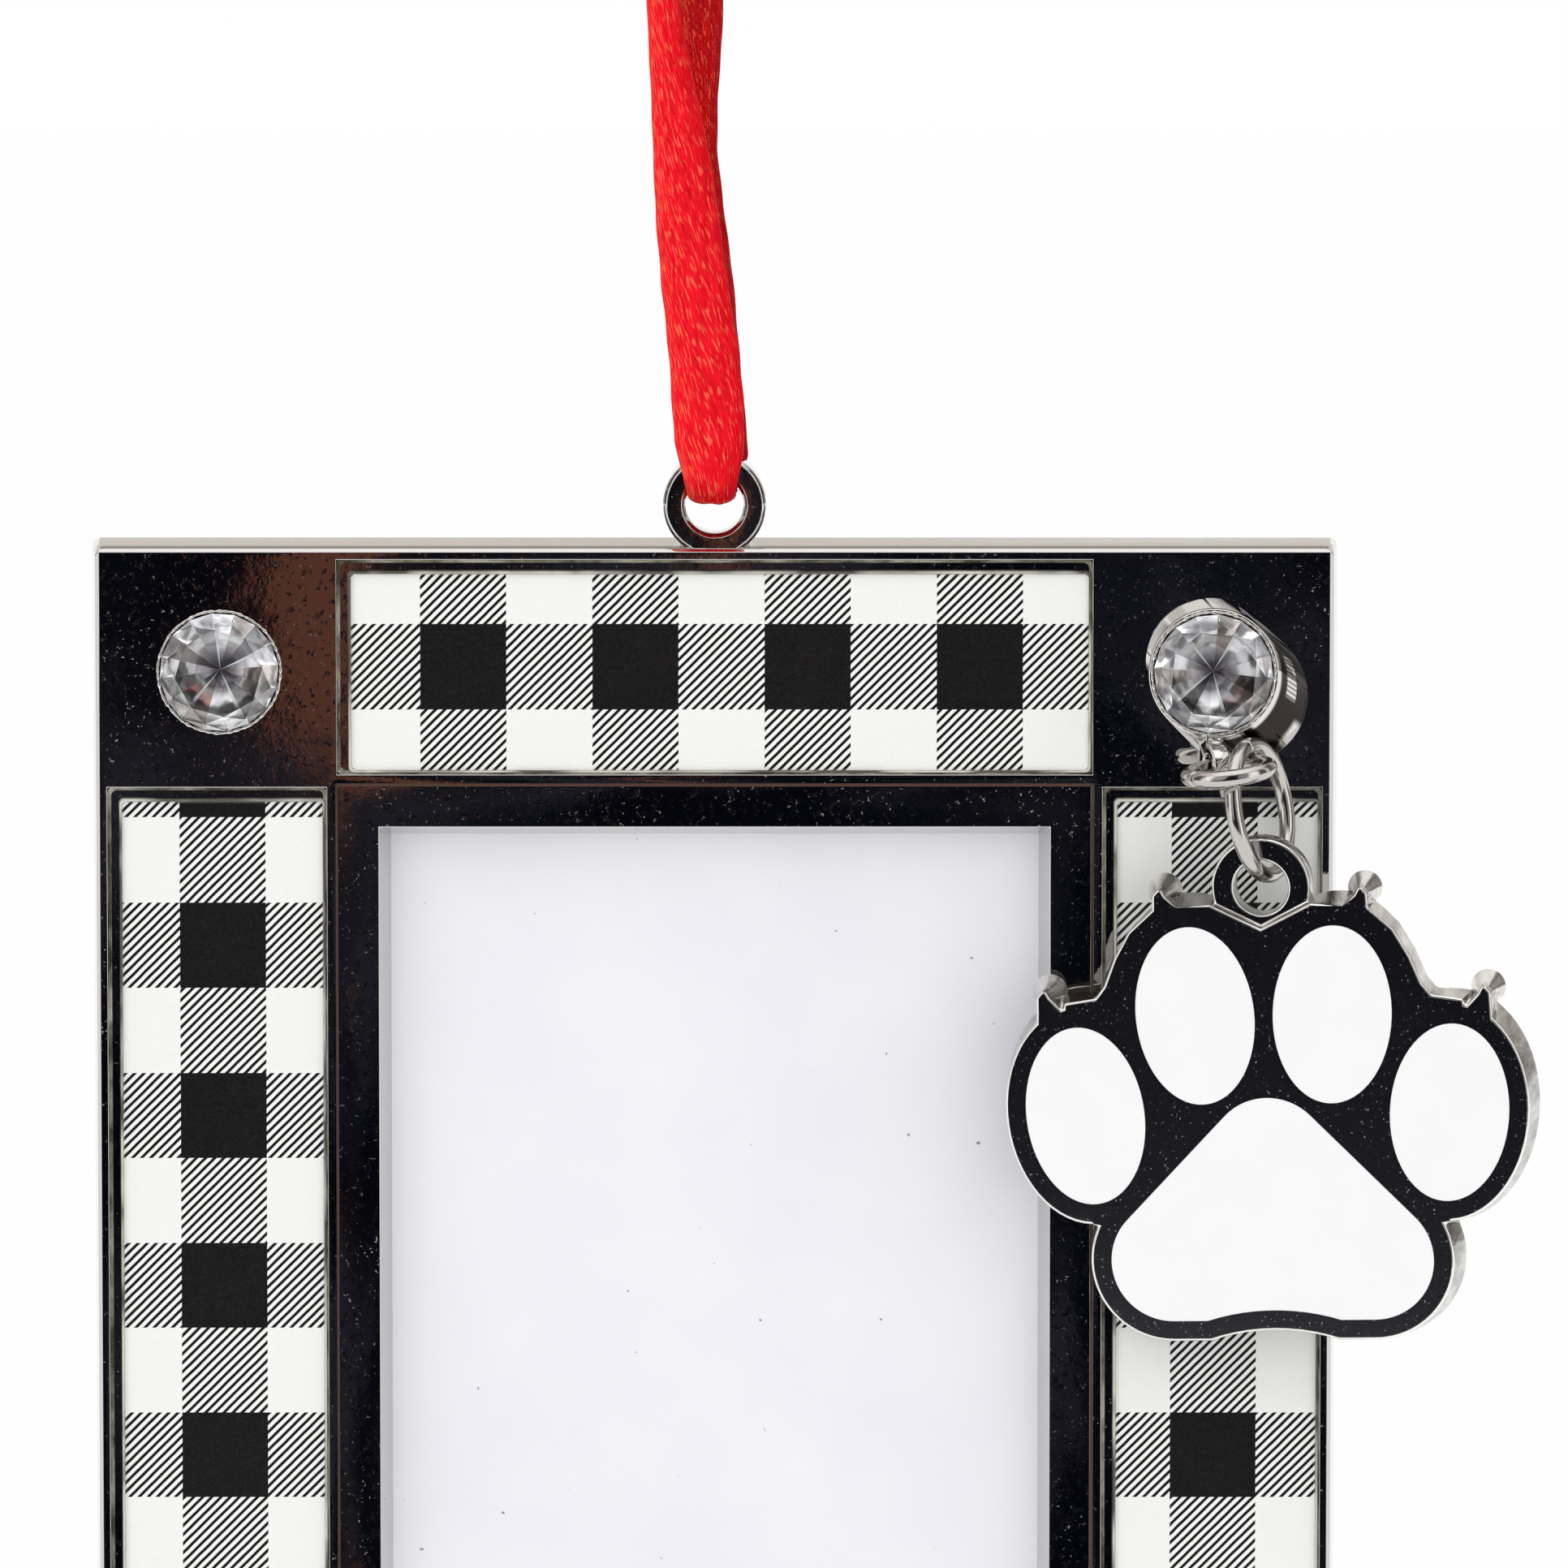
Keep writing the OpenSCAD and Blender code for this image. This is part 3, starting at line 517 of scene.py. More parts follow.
def plated(name, tone, rough=0.07, ripple=1.0, sand=0.0, dust=0.5):
    """Bright plating: long shallow ripples and fine orange peel from the casting under it, a sandy
    grain where asked, and specks of dust that mirror nothing. ripple multiplies the depth of both."""
    made, tree, shader = finish_of(name)
    where = place_on(tree)
    long_wave = grain(tree, where, 0.006, 1.0, 0.4)
    peel = grain(tree, where, 0.0011, 3.0, 0.6)
    pits = grain(tree, where, 0.0004, 2.0, 0.5)
    specks = spread(tree, grain(tree, where, 0.00022, 2.0, 0.7), 0.66, 0.74)
    zones = ease(tree, grain(tree, where, 0.009, 2.0, 0.5), 0.48, 0.62)
    specks = times(tree, times(tree, specks, dust), spread(tree, zones, 0, 1, 0.35, 1.0))
    paint(tree, shader, blend(tree, specks, tone, (0.42, 0.43, 0.45)))
    put(tree, shader.inputs["Metallic"], spread(tree, specks, 0, 0.6, 1.0, 0.2))
    polish = spread(tree, zones, 0, 1, rough, rough + 0.008)
    put(tree, shader.inputs["Roughness"], blend(tree, specks, polish, 0.6, "FLOAT"))
    first = raised(tree, None, long_wave, 0.0000025 * ripple, 1.0)
    second = raised(tree, None, peel, 0.0000009 * ripple + 0.00004 * sand, 1.0, first)
    pitted = times(tree, spread(tree, pits, 0.6, 0.75), spread(tree, zones, 0, 1, 0.2, 1.0))
    raised(tree, shader, pitted, -0.000003 * min(ripple, 1.6) - 0.00005 * sand, 1.0, second)
    return made


casting = tumbled("frame_casting", "cast_frame", 0.00005, corners=[
    (side * frame_wide / 2, frame_middle + up * frame_tall / 2, side, up)
    for side in (-1, 1) for up in (-1, 1)])
bright = plated("bright_plating", (0.66, 0.645, 0.63), 0.022)
tree = bright.node_tree
shader = tree.nodes["Principled BSDF"]
x, y, z = axes(tree, place_on(tree))
_, faces_back, faces_up = axes(tree, place_on(tree, "Normal"))
# Painted reflection: the moulding's outer slope and the front of the top wall mirror brown things, so a
# brown reflection is painted on both: the slope's middle line runs at these distances from the frame's middle
slope_x, slope_z = 0.02025, 0.0294
from_side = sums(tree, "SUBTRACT", sums(tree, "ABSOLUTE", x), slope_x)
from_end = sums(tree, "SUBTRACT", apart(tree, z, frame_middle), slope_z)
slope = spread(tree, sums(tree, "ABSOLUTE", sums(tree, "MAXIMUM", from_side, from_end)), 0.00034, 0.00030)
in_front = spread(tree, y, -0.0006, -0.0009)
slope = times(tree, times(tree, slope, spread(tree, faces_back, -0.97, -0.93)), in_front)
ledge_reflection = times(tree, spread(tree, faces_up, 0.90, 0.96), in_front)
ledge_reflection = times(tree, ledge_reflection, spread(tree, z, frame_top - 0.001, frame_top - 0.0008))
bare = shader.inputs["Base Color"].links[0].from_socket
# The painted brown reflection on the slope and the ledge goes over the plating's own colour
painted_brown_reflection = sums(tree, "MAXIMUM", slope, ledge_reflection)
paint(tree, shader, blend(tree, painted_brown_reflection, bare, (0.085, 0.05, 0.04)))
casting.data.materials.append(bright)
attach(casting, "frame")


# Printed strips
# White paper printed with a black gingham whose middle tones are slanting hatch lines. Each strip
# is die cut with small round corners and stuck in its recess a little to the lower right.
square, ink_face, paper_back, strip_corner = 0.00459, -0.00129, -0.00113, 0.00035
hatch_step, hatch_share, hatch_soft = 0.00049, 0.46, 0.03


def rounded_outline(width, tall, radius, per_corner=8):
    """Points anticlockwise round a rectangle whose corners are quarter circles, as seen from the front."""
    a = np.linspace(0, np.pi / 2, per_corner)
    corners = [(1, 1, 0), (-1, 1, 90), (-1, -1, 180), (1, -1, 270)]
    return np.concatenate([np.stack([sx * (width / 2 - radius) + radius * np.cos(a + np.radians(t)),
                                     sz * (tall / 2 - radius) + radius * np.sin(a + np.radians(t))], 1)
                           for sx, sz, t in corners])


def slab(name, outline, centre, profile):
    """A closed slab: the outline carried through (inset, y) pairs from the back to the front, with flat
    ends. A point moves in by the inset times its share of the outline's reach."""
    away = outline - outline.mean(0)
    inwards = np.sign(away) * np.minimum(1, np.abs(away) / np.abs(away).max(0))
    rings = [np.stack([centre[0] + outline[:, 0] - inset * inwards[:, 0],
                       np.full(len(outline), y),
                       centre[1] + outline[:, 1] - inset * inwards[:, 1]], 1) for inset, y in profile]
    n = len(outline)
    faces = tube_faces(len(rings), n).tolist()
    faces += [list(range(n))[::-1], [(len(rings) - 1) * n + k for k in range(n)]]
    made = piece_of(name, np.concatenate(rings), faces, smooth=False)
    faces_out(made.data)
    return made


def gingham(name, column_x, row_z):
    """Paper and ink: dark columns cross dark rows in solid black, and elsewhere they are hatched at 45
    degrees. column_x and row_z are the middles of one dark column and one dark row."""
    made, tree, shader = finish_of(name)
    where = place_on(tree)
    x, _, z = axes(tree, where)

    def inked(value, middle):
        """1 on every second square along one axis: the fraction of (value - middle) / (2 squares) + 1/4
        is under a half."""
        step = sums(tree, "MULTIPLY_ADD", value, 0.5 / square, 0.25 - 0.5 * middle / square)
        return sums(tree, "LESS_THAN", sums(tree, "FRACT", step), 0.5)

    column, row = inked(x, column_x), inked(z, row_z)
    both = times(tree, column, row)
    either = sums(tree, "SUBTRACT", sums(tree, "ADD", column, row), both)
    wobble = times(tree, grain(tree, where, 0.0007, 1.0), 0.10)
    phase = sums(tree, "ADD", times(tree, sums(tree, "SUBTRACT", x, z), 1 / hatch_step), wobble)
    off_line = apart(tree, sums(tree, "FRACT", phase), 0.5)
    stripe = spread(tree, off_line, hatch_share / 2 + hatch_soft, hatch_share / 2 - hatch_soft)
    ink = sums(tree, "MAXIMUM", both, times(tree, either, stripe))
    fibre = grain(tree, where, 0.00012, 2.0, 0.6)
    black = blend(tree, spread(tree, fibre, 0.45, 0.75), (0.003, 0.0025, 0.0035), (0.013, 0.012, 0.014))
    paper = blend(tree, spread(tree, fibre, 0.3, 0.7), (0.94, 0.945, 0.93), (0.98, 0.98, 0.97))
    paint(tree, shader, blend(tree, ink, paper, black))
    plain(shader, Roughness=0.55, Specular_IOR_Level=0.25)
    raised(tree, shader, fibre, 0.000004, 0.4)
    return made


# Each strip: its recess's middle from the frame's middle, its width and height, a dark column, a dark row
side_x, end_z, shift = 0.02655, 0.03565, 0.00028
strips = {"top": (0.0, end_z, 0.03936, 0.01056, 0.00496, end_z),
          "bottom": (0.0, -end_z, 0.03936, 0.01056, 0.00496, -end_z),
          "left": (-side_x, 0.0, 0.01076, 0.05746, -side_x + shift, 0.02069),
          "right": (side_x, 0.0, 0.01076, 0.05746, side_x + shift / 2, 0.02069)}
for side, (cx, cz, wide, tall, column_x, row_z) in strips.items():
    at = (cx + shift, frame_middle + cz - shift)
    sheet = slab("printed_strip_" + side, rounded_outline(wide, tall, strip_corner), at,
                 [(0, paper_back), (0, ink_face)])
    sheet.data.materials.append(gingham("gingham_" + side, column_x, frame_middle + row_z))
    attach(sheet, "frame")
    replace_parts(sheet, "print_" + side, "check_black_" + side, "check_twill_" + side)


# Clear resin
# A thin coat of clear resin is poured on each strip. It stands a little proud with a round
# edge, and where it meets the recess's wall it leaves a bead and a lip that look faintly yellow.
resin_front, trim_foot, wall_gap = -0.00153, -0.00112, 0.00047
bead_high, bead_wide, lip_wide, trim_corner = -0.00150, 0.00024, 0.00017, 0.0003
clear, tree, shader = finish_of("clear_resin")
tree.nodes.remove(shader)
through = node(tree, "BsdfTransparent")
plain(through, Color=(1.0, 1.0, 0.995, 1))
gloss = node(tree, "BsdfGlossy")
plain(gloss, Roughness=0.04, Color=(0.9, 0.9, 0.9, 1))
# The share of gloss is 0.04 + 0.96 times the fifth power of how far the coat is seen edge on
glancing = node(tree, "LayerWeight")
plain(glancing, Blend=0.5)
edge_on = sums(tree, "MULTIPLY_ADD", sums(tree, "POWER", glancing.outputs["Facing"], 5.0), 0.96, 0.04)
inside = node(tree, "NewGeometry").outputs["Backfacing"]
edge_on = times(tree, edge_on, rest_of(tree, inside))
wave = raised(tree, None, grain(tree, place_on(tree), 0.004, 1.0), 0.00002, 1.0)
put(tree, gloss.inputs["Normal"], wave)
both = node(tree, "MixShader")
put(tree, both.inputs[0], edge_on)
tree.links.new(through.outputs[0], both.inputs[1])
tree.links.new(gloss.outputs[0], both.inputs[2])
tree.links.new(both.outputs[0], tree.nodes["Material Output"].inputs[0])
rim, tree, shader = finish_of("resin_rim")
patchy = spread(tree, grain(tree, place_on(tree), 0.002, 2.0), 0.35, 0.65)
paint(tree, shader, blend(tree, patchy, (0.55, 0.50, 0.30), (0.78, 0.76, 0.62)))
plain(shader, Roughness=0.15, Alpha=0.55)
cream, tree, shader = finish_of("resin_bead")
where = place_on(tree)
patchy = grain(tree, where, 0.0022, 3.0, 0.6)
yellow = blend(tree, spread(tree, patchy, 0.35, 0.65), (0.22, 0.20, 0.13), (0.80, 0.77, 0.63))
paint(tree, shader, yellow)
put(tree, shader.inputs["Metallic"], spread(tree, patchy, 0.35, 0.65, 0.7, 0.3))
plain(shader, Roughness=0.16)
raised(tree, shader, grain(tree, where, 0.0009, 2.0), 0.00004, 1.0)
pale_lip, tree, shader = finish_of("resin_lip")
patchy = spread(tree, grain(tree, place_on(tree), 0.004, 2.0), 0.4, 0.6)
paint(tree, shader, blend(tree, patchy, (0.10, 0.095, 0.075), (0.70, 0.69, 0.62)))
plain(shader, Roughness=0.12)
for side, (cx, cz, wide, tall, *_) in strips.items():
    at = (cx + shift, frame_middle + cz - shift)
    coat = slab("resin_coat_" + side, rounded_outline(wide, tall, strip_corner), at,
                [(0, ink_face + 0.00002), (0, resin_front + 0.00012),
                 (0.00004, resin_front + 0.00004), (0.00012, resin_front)])
    coat.data.materials.append(clear)
    coat.data.materials.append(rim)
    which = np.array([1 if abs(p.normal.y) < 0.5 else 0 for p in coat.data.polygons], np.int32)
    coat.data.polygons.foreach_set("material_index", which)
    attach(coat, "frame")
    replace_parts(coat, "resin_" + side)
    for kind, grow, (mid_x, mid_z), width, skin in (
            ("bead", 2 * wall_gap, (cx, frame_middle + cz), bead_wide, cream),
            ("lip", 2 * lip_wide, at, lip_wide, pale_lip)):
        out_line = rounded_outline(wide + grow, tall + grow, trim_corner)
        in_line = rounded_outline(wide + grow - 2 * width, tall + grow - 2 * width, trim_corner)
        # The bead slopes down from the wall, and the lip is highest along its middle
        if kind == "lip":
            crest = resin_front + 0.00004
            upper_two = [(out_line * 0.5 + in_line * 0.5, crest), (in_line, crest)]
        else:
            upper_two = [(out_line, bead_high), (in_line, trim_foot + 0.00008)]
        loops = [(out_line, trim_foot), *upper_two, (in_line, trim_foot)]
        trim = piece_of("resin_%s_%s" % (kind, side),
                        np.concatenate([np.stack([mid_x + q[:, 0], np.full(len(q), y), mid_z + q[:, 1]], 1)
                                        for q, y in loops]),
                        tube_faces(len(loops), len(out_line), closed=True))
        faces_out(trim.data)
        trim.data.materials.append(skin)
        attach(trim, "frame")


# Card and back plate
# The white card lies in the rebate behind the opening, where a picture goes. A plain plate of sheet
# metal, brushed along its height, lies behind it and closes the back.
card, tree, shader = finish_of("white_card")
where = place_on(tree)
fibres = grain(tree, where, 0.0003, 3.0, 0.65)
clouds = grain(tree, where, 0.008, 2.0, 0.5)
base = blend(tree, spread(tree, clouds, 0.3, 0.7), (0.87, 0.87, 0.92), (0.91, 0.91, 0.955))
dots = spread(tree, grain(tree, where, 0.0005, 1.0, 0.5), 0.80, 0.83)
paint(tree, shader, blend(tree, dots, base, (0.3, 0.3, 0.33)))
plain(shader, Roughness=0.75, Specular_IOR_Level=0.2)
raised(tree, shader, fibres, 0.00001, 0.5)
solids["photo_card"].data.materials.clear()
solids["photo_card"].data.materials.append(card)

plate, tree, shader = finish_of("satin_plate")
where = place_on(tree)
rolled = grain(tree, where, 0.0006, 3.0, 0.6, (1.0, 1.0, 0.06))
steel = blend(tree, spread(tree, rolled, 0.3, 0.7), (0.46, 0.46, 0.47), (0.58, 0.58, 0.59))
paint(tree, shader, steel)
put(tree, shader.inputs["Roughness"], spread(tree, rolled, 0.3, 0.7, 0.32, 0.48))
plain(shader, Metallic=1.0)
raised(tree, shader, rolled, 0.00001, 0.5)
backing = tumbled("back_plate", "back_plate_rolled", 0.0001)
backing.data.materials.append(plate)
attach(backing, "frame")


# The stones
# Cut crystal chatons glued in their seats: an eight-sided table, a crown of small facets, a thin
# girdle and a pointed back with a mirror foil. The star of light that the foil throws back is painted on its
# facets.
stone_r, back_facets = 0.003175, 16
cut = {"table": 0.74, "crown": 0.000635, "girdle": 0.00019, "pavilion": 0.002286, "proud": 0.000755}
# Painted reflections: the tones of the sixteen back facets, lifted by a power under 1
facet_reflection_tones = np.array([
    [0.96, 0.96, 0.98], [0.20, 0.19, 0.20], [0.82, 0.83, 0.86], [0.50, 0.40, 0.36],
    [0.93, 0.94, 0.97], [0.08, 0.08, 0.09], [0.66, 0.67, 0.70], [0.98, 0.98, 1.0],
    [0.30, 0.30, 0.33], [0.86, 0.84, 0.82], [0.12, 0.10, 0.10], [0.90, 0.92, 0.96],
    [0.44, 0.44, 0.47], [0.97, 0.97, 0.98], [0.26, 0.20, 0.18], [0.74, 0.76, 0.80]]) ** 0.45


def ring_of(radius, depth, count, turned=0.0):
    """count points round a circle of that radius, at a depth behind the table."""
    a = 2 * np.pi * np.arange(count) / count + turned
    return np.stack([radius * np.cos(a), np.full(count, depth), radius * np.sin(a)], 1)


def cut_stone(name, place, turned):
    """The hull of the rings of facet corners, from the table to the point. The sixteen back facets meet in
    the point, and each takes its own painted brightness, a painted reflection, from the table of tones. Two
    more
    values lie on the mesh: away, a corner's distance from the middle over the radius, and across, that
    distance times how far the corner lies across its facet, from 0 to 1. They place the painted shade and
    highlight on the foil."""
    sixteenth = math.pi / 8
    deep = cut["crown"] + cut["girdle"]
    p = np.concatenate([
        ring_of(stone_r * cut["table"], 0, 8, turned),
        ring_of(stone_r * 0.90, cut["crown"] * 0.46, 8, turned + sixteenth),
        ring_of(stone_r, cut["crown"], back_facets, turned),
        ring_of(stone_r, deep, back_facets, turned),
        ring_of(stone_r * 0.004, deep + cut["pavilion"], 4, turned)])
    p = p + np.asarray(place) + [0, -cut["proud"], 0]
    mesh = bpy.data.meshes.new(name)
    mesh.from_pydata(p.tolist(), [], [])
    work = bmesh.new()
    work.from_mesh(mesh)
    bmesh.ops.convex_hull(work, input=work.verts)
    bmesh.ops.dissolve_limit(work, angle_limit=math.radians(0.3), verts=work.verts, edges=work.edges)
    bmesh.ops.recalc_face_normals(work, faces=work.faces)
    if work.calc_volume(signed=True) < 0:
        bmesh.ops.reverse_faces(work, faces=work.faces)
    work.to_mesh(mesh)
    work.free()
    mesh.polygons.foreach_set("use_smooth", np.zeros(len(mesh.polygons), bool))
    mesh.materials.append(crystal)
    mesh.materials.append(foil)
    middle = np.array([f.center for f in mesh.polygons]) - np.asarray(place) + [0, cut["proud"], 0]
    back = middle[:, 1] > deep + 0.00002
    mesh.polygons.foreach_set("material_index", back.astype(np.int32))
    wedge = (np.arctan2(middle[:, 2], middle[:, 0]) - turned) / (2 * np.pi) * back_facets
    wedge = np.floor(wedge).astype(int) % back_facets
    tone = facet_reflection_tones[(wedge + int(turned * 40)) % back_facets]
    tone = np.concatenate([tone, np.ones((len(wedge), 1))], 1)
    mesh.attributes.new("facet", "FLOAT_COLOR", "FACE").data.foreach_set("color", tone.ravel())
    spot = np.array([v.co for v in mesh.vertices]) - np.asarray(place)
    away = np.hypot(spot[:, 0], spot[:, 2]) / stone_r
    mesh.attributes.new("away", "FLOAT", "POINT").data.foreach_set("value", away.astype(np.float32))
    corner = np.zeros(len(mesh.loops), int)
    mesh.loops.foreach_get("vertex_index", corner)
    owner = np.repeat(np.arange(len(mesh.polygons)), [f.loop_total for f in mesh.polygons])
    share = (np.arctan2(spot[corner, 2], spot[corner, 0]) - turned) / (2 * np.pi) * back_facets - wedge[owner]
    half = back_facets / 2
    share = np.clip((share + half) % back_facets - half, 0, 1) * away[corner]
    mesh.attributes.new("across", "FLOAT", "CORNER").data.foreach_set("value", share.astype(np.float32))
    made = bpy.data.objects.new(name, mesh)
    bpy.context.scene.collection.objects.link(made)
    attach(made, "frame")
    return made


crystal, tree, shader = finish_of("cut_crystal")
plain(shader, Base_Color=(0.98, 0.99, 1.0, 1), Transmission_Weight=1.0, IOR=1.52)
rubbed = grain(tree, place_on(tree), 0.0004, 2.0)
put(tree, shader.inputs["Roughness"], spread(tree, rubbed, 0.62, 0.75, 0.0, 0.06))
foil, tree, shader = finish_of("mirror_foil")
plain(shader, Metallic=1.0)
tone, away, across = [node(tree, "Attribute") for _ in range(3)]
tone.attribute_name, away.attribute_name, across.attribute_name = "facet", "away", "across"
away, across = away.outputs["Fac"], across.outputs["Fac"]
# Painted shade: the foil is painted darker towards the stone's middle
painted_dark_middle = ease(tree, away, 0.25, 0.62)
painted_dark_middle = blend(tree, painted_dark_middle, (0.26, 0.25, 0.27), (1.0, 1.0, 1.0))
body = blend(tree, 1.0, tone.outputs["Color"], painted_dark_middle, mode="MULTIPLY")
# A painted highlight: a white sliver along one side of the brightest facets stands for the lamps thrown
# straight back
share = sums(tree, "DIVIDE", across, sums(tree, "ADD", away, 0.0001))
brightest = sums(tree, "GREATER_THAN", tone.outputs["Fac"], 0.972)
painted_sliver_highlight = times(tree, spread(tree, share, 0.72, 0.76), brightest)
painted_sliver_highlight = times(tree, painted_sliver_highlight, spread(tree, away, 0.70, 0.60))
body = blend(tree, painted_sliver_highlight, body, (1.0, 1.0, 1.0))
paint(tree, shader, body)
put(tree, shader.inputs["Metallic"], rest_of(tree, times(tree, painted_sliver_highlight, 0.8)))
plain(shader, Roughness=0.12)
raised(tree, shader, grain(tree, place_on(tree), 0.0009, 1.0), 0.00002, 1.0)


rim_r, rim_rings, rim_sides = 0.00327, 240, 10


def beaded_rim(name, place):
    """A thin lumpy ring of plating squeezed up round a stone: a round section whose thickness varies."""
    a = np.linspace(0, 2 * np.pi, rim_rings + 1)[:-1][:, None]
    b = np.linspace(0, 2 * np.pi, rim_sides + 1)[:-1][None, :]
    thick = 0.00007 + 0.00002 * np.sin(31 * a + 1) * np.sin(7 * a) + 0.000015 * np.sin(53 * a)
    r = rim_r + thick * np.cos(b) + 0.00001 * np.sin(11 * a)
    p = np.stack([r * np.cos(a), -thick * np.sin(b) + np.zeros_like(a), r * np.sin(a)], -1)
    made = piece_of(name, (p + np.asarray(place)).reshape(-1, 3),
                    tube_faces(rim_rings, rim_sides, closed=True))
    faces_out(made.data)
    made.data.materials.append(rim_plating)
    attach(made, "frame")


rim_plating = plated("rim_plating", (0.92, 0.89, 0.84), 0.08, 12.0, 0.5, 0.2)
cup_rim = (0.0265, -0.00475, -0.05935)
stone_x, high_z, low_z = 0.0264, -0.0596, -0.1304
for corner, place, turned in (("top_left", (-stone_x, face_y, high_z), 0.12),
                              ("top_right", cup_rim, 0.30),
                              ("bottom_left", (-stone_x, face_y, low_z), 0.2),
                              ("bottom_right", (stone_x, face_y, low_z), 0.05)):
    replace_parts(cut_stone("crystal_" + corner, place, turned), "stone_" + corner)
    beaded_rim("rim_" + corner, (place[0], place[1] + 0.00002, place[2]))


# Raised cup
# The upper right stone sits in a round cup that stands on the face and leans up and to the left. The
# cup and the small bail under it are one casting, and the plating covers them with the frame.
cup_foot_x, cup_foot_z = 0.02795, -0.06085
cup = tumbled("stone_cup", "cast_cup", 0.00008, angle=30, seams=True)
cup_metal = plated("cup_plating", (0.78, 0.765, 0.74), 0.06, 8.0, 0.0, 0.35)
tree = cup_metal.node_tree
shader = tree.nodes["Principled BSDF"]
where = place_on(tree)
x, y, z = axes(tree, where)
# Painted reflection: the wall's right side is painted dark where it mirrors the dark frame, but for one
# painted window-like patch with bars, one painted glint and a lighter edge at its foot. depth goes from 0 at
# the rim to 1 at the foot, and angle is measured round the cup's middle line
depth = spread(tree, y, cup_rim[1], face_y)
off_x = sums(tree, "SUBTRACT", x, spread(tree, depth, 0, 1, cup_rim[0], cup_foot_x))
off_z = sums(tree, "SUBTRACT", z, spread(tree, depth, 0, 1, cup_rim[2], cup_foot_z))
angle = sums(tree, "ARCTAN2", off_z, off_x)
wavy = sums(tree, "ADD", angle, times(tree, grain(tree, where, 0.0012, 2.0), 0.5))
# Painted reflection: the part of the wall that is painted dark
dark = times(tree, ease(tree, wavy, -1.45, -1.15), ease(tree, wavy, 1.35, 1.0))
dark = times(tree, dark, ease(tree, depth, 0.05, 0.12))
aside = apart(tree, angle, 0.06)
along = apart(tree, depth, 0.40)
window_reflection = times(tree, ease(tree, aside, 0.34, 0.26), ease(tree, along, 0.16, 0.11))
bars = spread(tree, sums(tree, "SINE", times(tree, angle, 90.0)), -0.3, 0.3, 0.35, 1.0)
# Painted highlight: the glint near the wall's foot
aside = apart(tree, angle, -0.66)
glint = times(tree, ease(tree, aside, 0.24, 0.12), ease(tree, depth, 0.62, 0.74))
edge = spread(tree, depth, 0.90, 0.95, 0.0, 0.7)
painted_bright_reflection = sums(tree, "MAXIMUM", times(tree, window_reflection, bars), sums(tree, "MAXIMUM", glint, edge))
dark = times(tree, dark, rest_of(tree, painted_bright_reflection))
bare = shader.inputs["Base Color"].links[0].from_socket
# The painted dark reflection goes into the plating's colour
paint(tree, shader, blend(tree, dark, bare, (0.028, 0.021, 0.019)))
cup.data.materials.append(cup_metal)
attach(cup, "frame")


# Jump rings
# Two closed rings of bright round wire: the upper one goes through the bail, the lower one hangs
# on it and carries the charm. Each has a fine split where its ends meet.
bail = np.array([0.0266, -0.00475, -0.06432])
link = np.array([0.0285929, -0.00514589, -0.0640955])
ring_steps, wire_sides, ring_sweep = 160, 32, 358.2


def turned_by(v, degrees):
    """A vector turned about X, then Y, then Z."""
    for axis, a in zip("XYZ", degrees):
        v = np.array(Matrix.Rotation(math.radians(a), 3, axis) @ Vector(v))
    return v


def wire_ring(name, centre, first, second, radius, wire, split_at):
    """A tube of that wire round a circle spanned by two unit vectors, with ends just rounded at the split."""
    a = np.radians(split_at + np.linspace(0, ring_sweep, ring_steps))[:, None, None]
    b = np.linspace(0, 2 * np.pi, wire_sides + 1)[:-1][None, :, None]
    out = np.cos(a) * first + np.sin(a) * second
    normal = np.cross(first, second)
    thin = np.ones((ring_steps, 1, 1))
    thin[0] = thin[-1] = 0.86
    p = centre + radius * out + thin * wire / 2 * (np.cos(b) * out + np.sin(b) * normal)
    last = (ring_steps - 1) * wire_sides
    faces = tube_faces(ring_steps, wire_sides).tolist()
    faces += [list(range(wire_sides))[::-1], [last + k for k in range(wire_sides)]]
    uv = np.stack(np.broadcast_arrays(b[..., 0] / (2 * np.pi), np.degrees(a[..., 0]) / 60), -1).reshape(-1, 2)
    made = piece_of(name, p.reshape(-1, 3), faces, uv)
    faces_out(made.data)
    return made


wire_finish = plated("ring_wire", (0.60, 0.575, 0.545), 0.15, 1.5, 0.0, 0.15)
pose = (1.1, -7.8, 17.7)
upper_r, lower_r, upper_wire, lower_wire = 0.002125, 0.003475, 0.00092, 0.00088
upper = wire_ring("wire_ring_upper", bail + turned_by((0, -upper_r, 0), pose), turned_by((1, 0, 0), pose),
                  turned_by((0, 1, 0), pose), upper_r, upper_wire, 200)
pose, spin = (-5.4, -8.8, 0), math.radians(-24)
link_gap = 0.00007
drop = lower_r - (upper_wire + lower_wire) / 2 - link_gap
lower = wire_ring("wire_ring_lower", link + turned_by((0, 0, -drop), pose), turned_by((0, 0, 1), pose),
                  turned_by((-math.sin(spin), math.cos(spin), 0), pose), lower_r, lower_wire, -14)
for ring, part, body in ((upper, "upper_ring", "upper_link"), (lower, "lower_ring", "lower_link")):
    ring.data.materials.append(wire_finish)
    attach(ring, body)
    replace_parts(ring, part)


# The charm
# A cast paw with a loop: the plated metal stands as a narrow wall round five fields, which are
# filled flush with white enamel. Its face is finely sandy and its sides are smoother.
paw_out = Vector((-0.164829, -0.984934, -0.052307))
sharp_from, low_wall_depth = math.radians(30), 0.0006
paw = tumbled("paw_casting", "cast_paw", 0.00014, 3, 30)
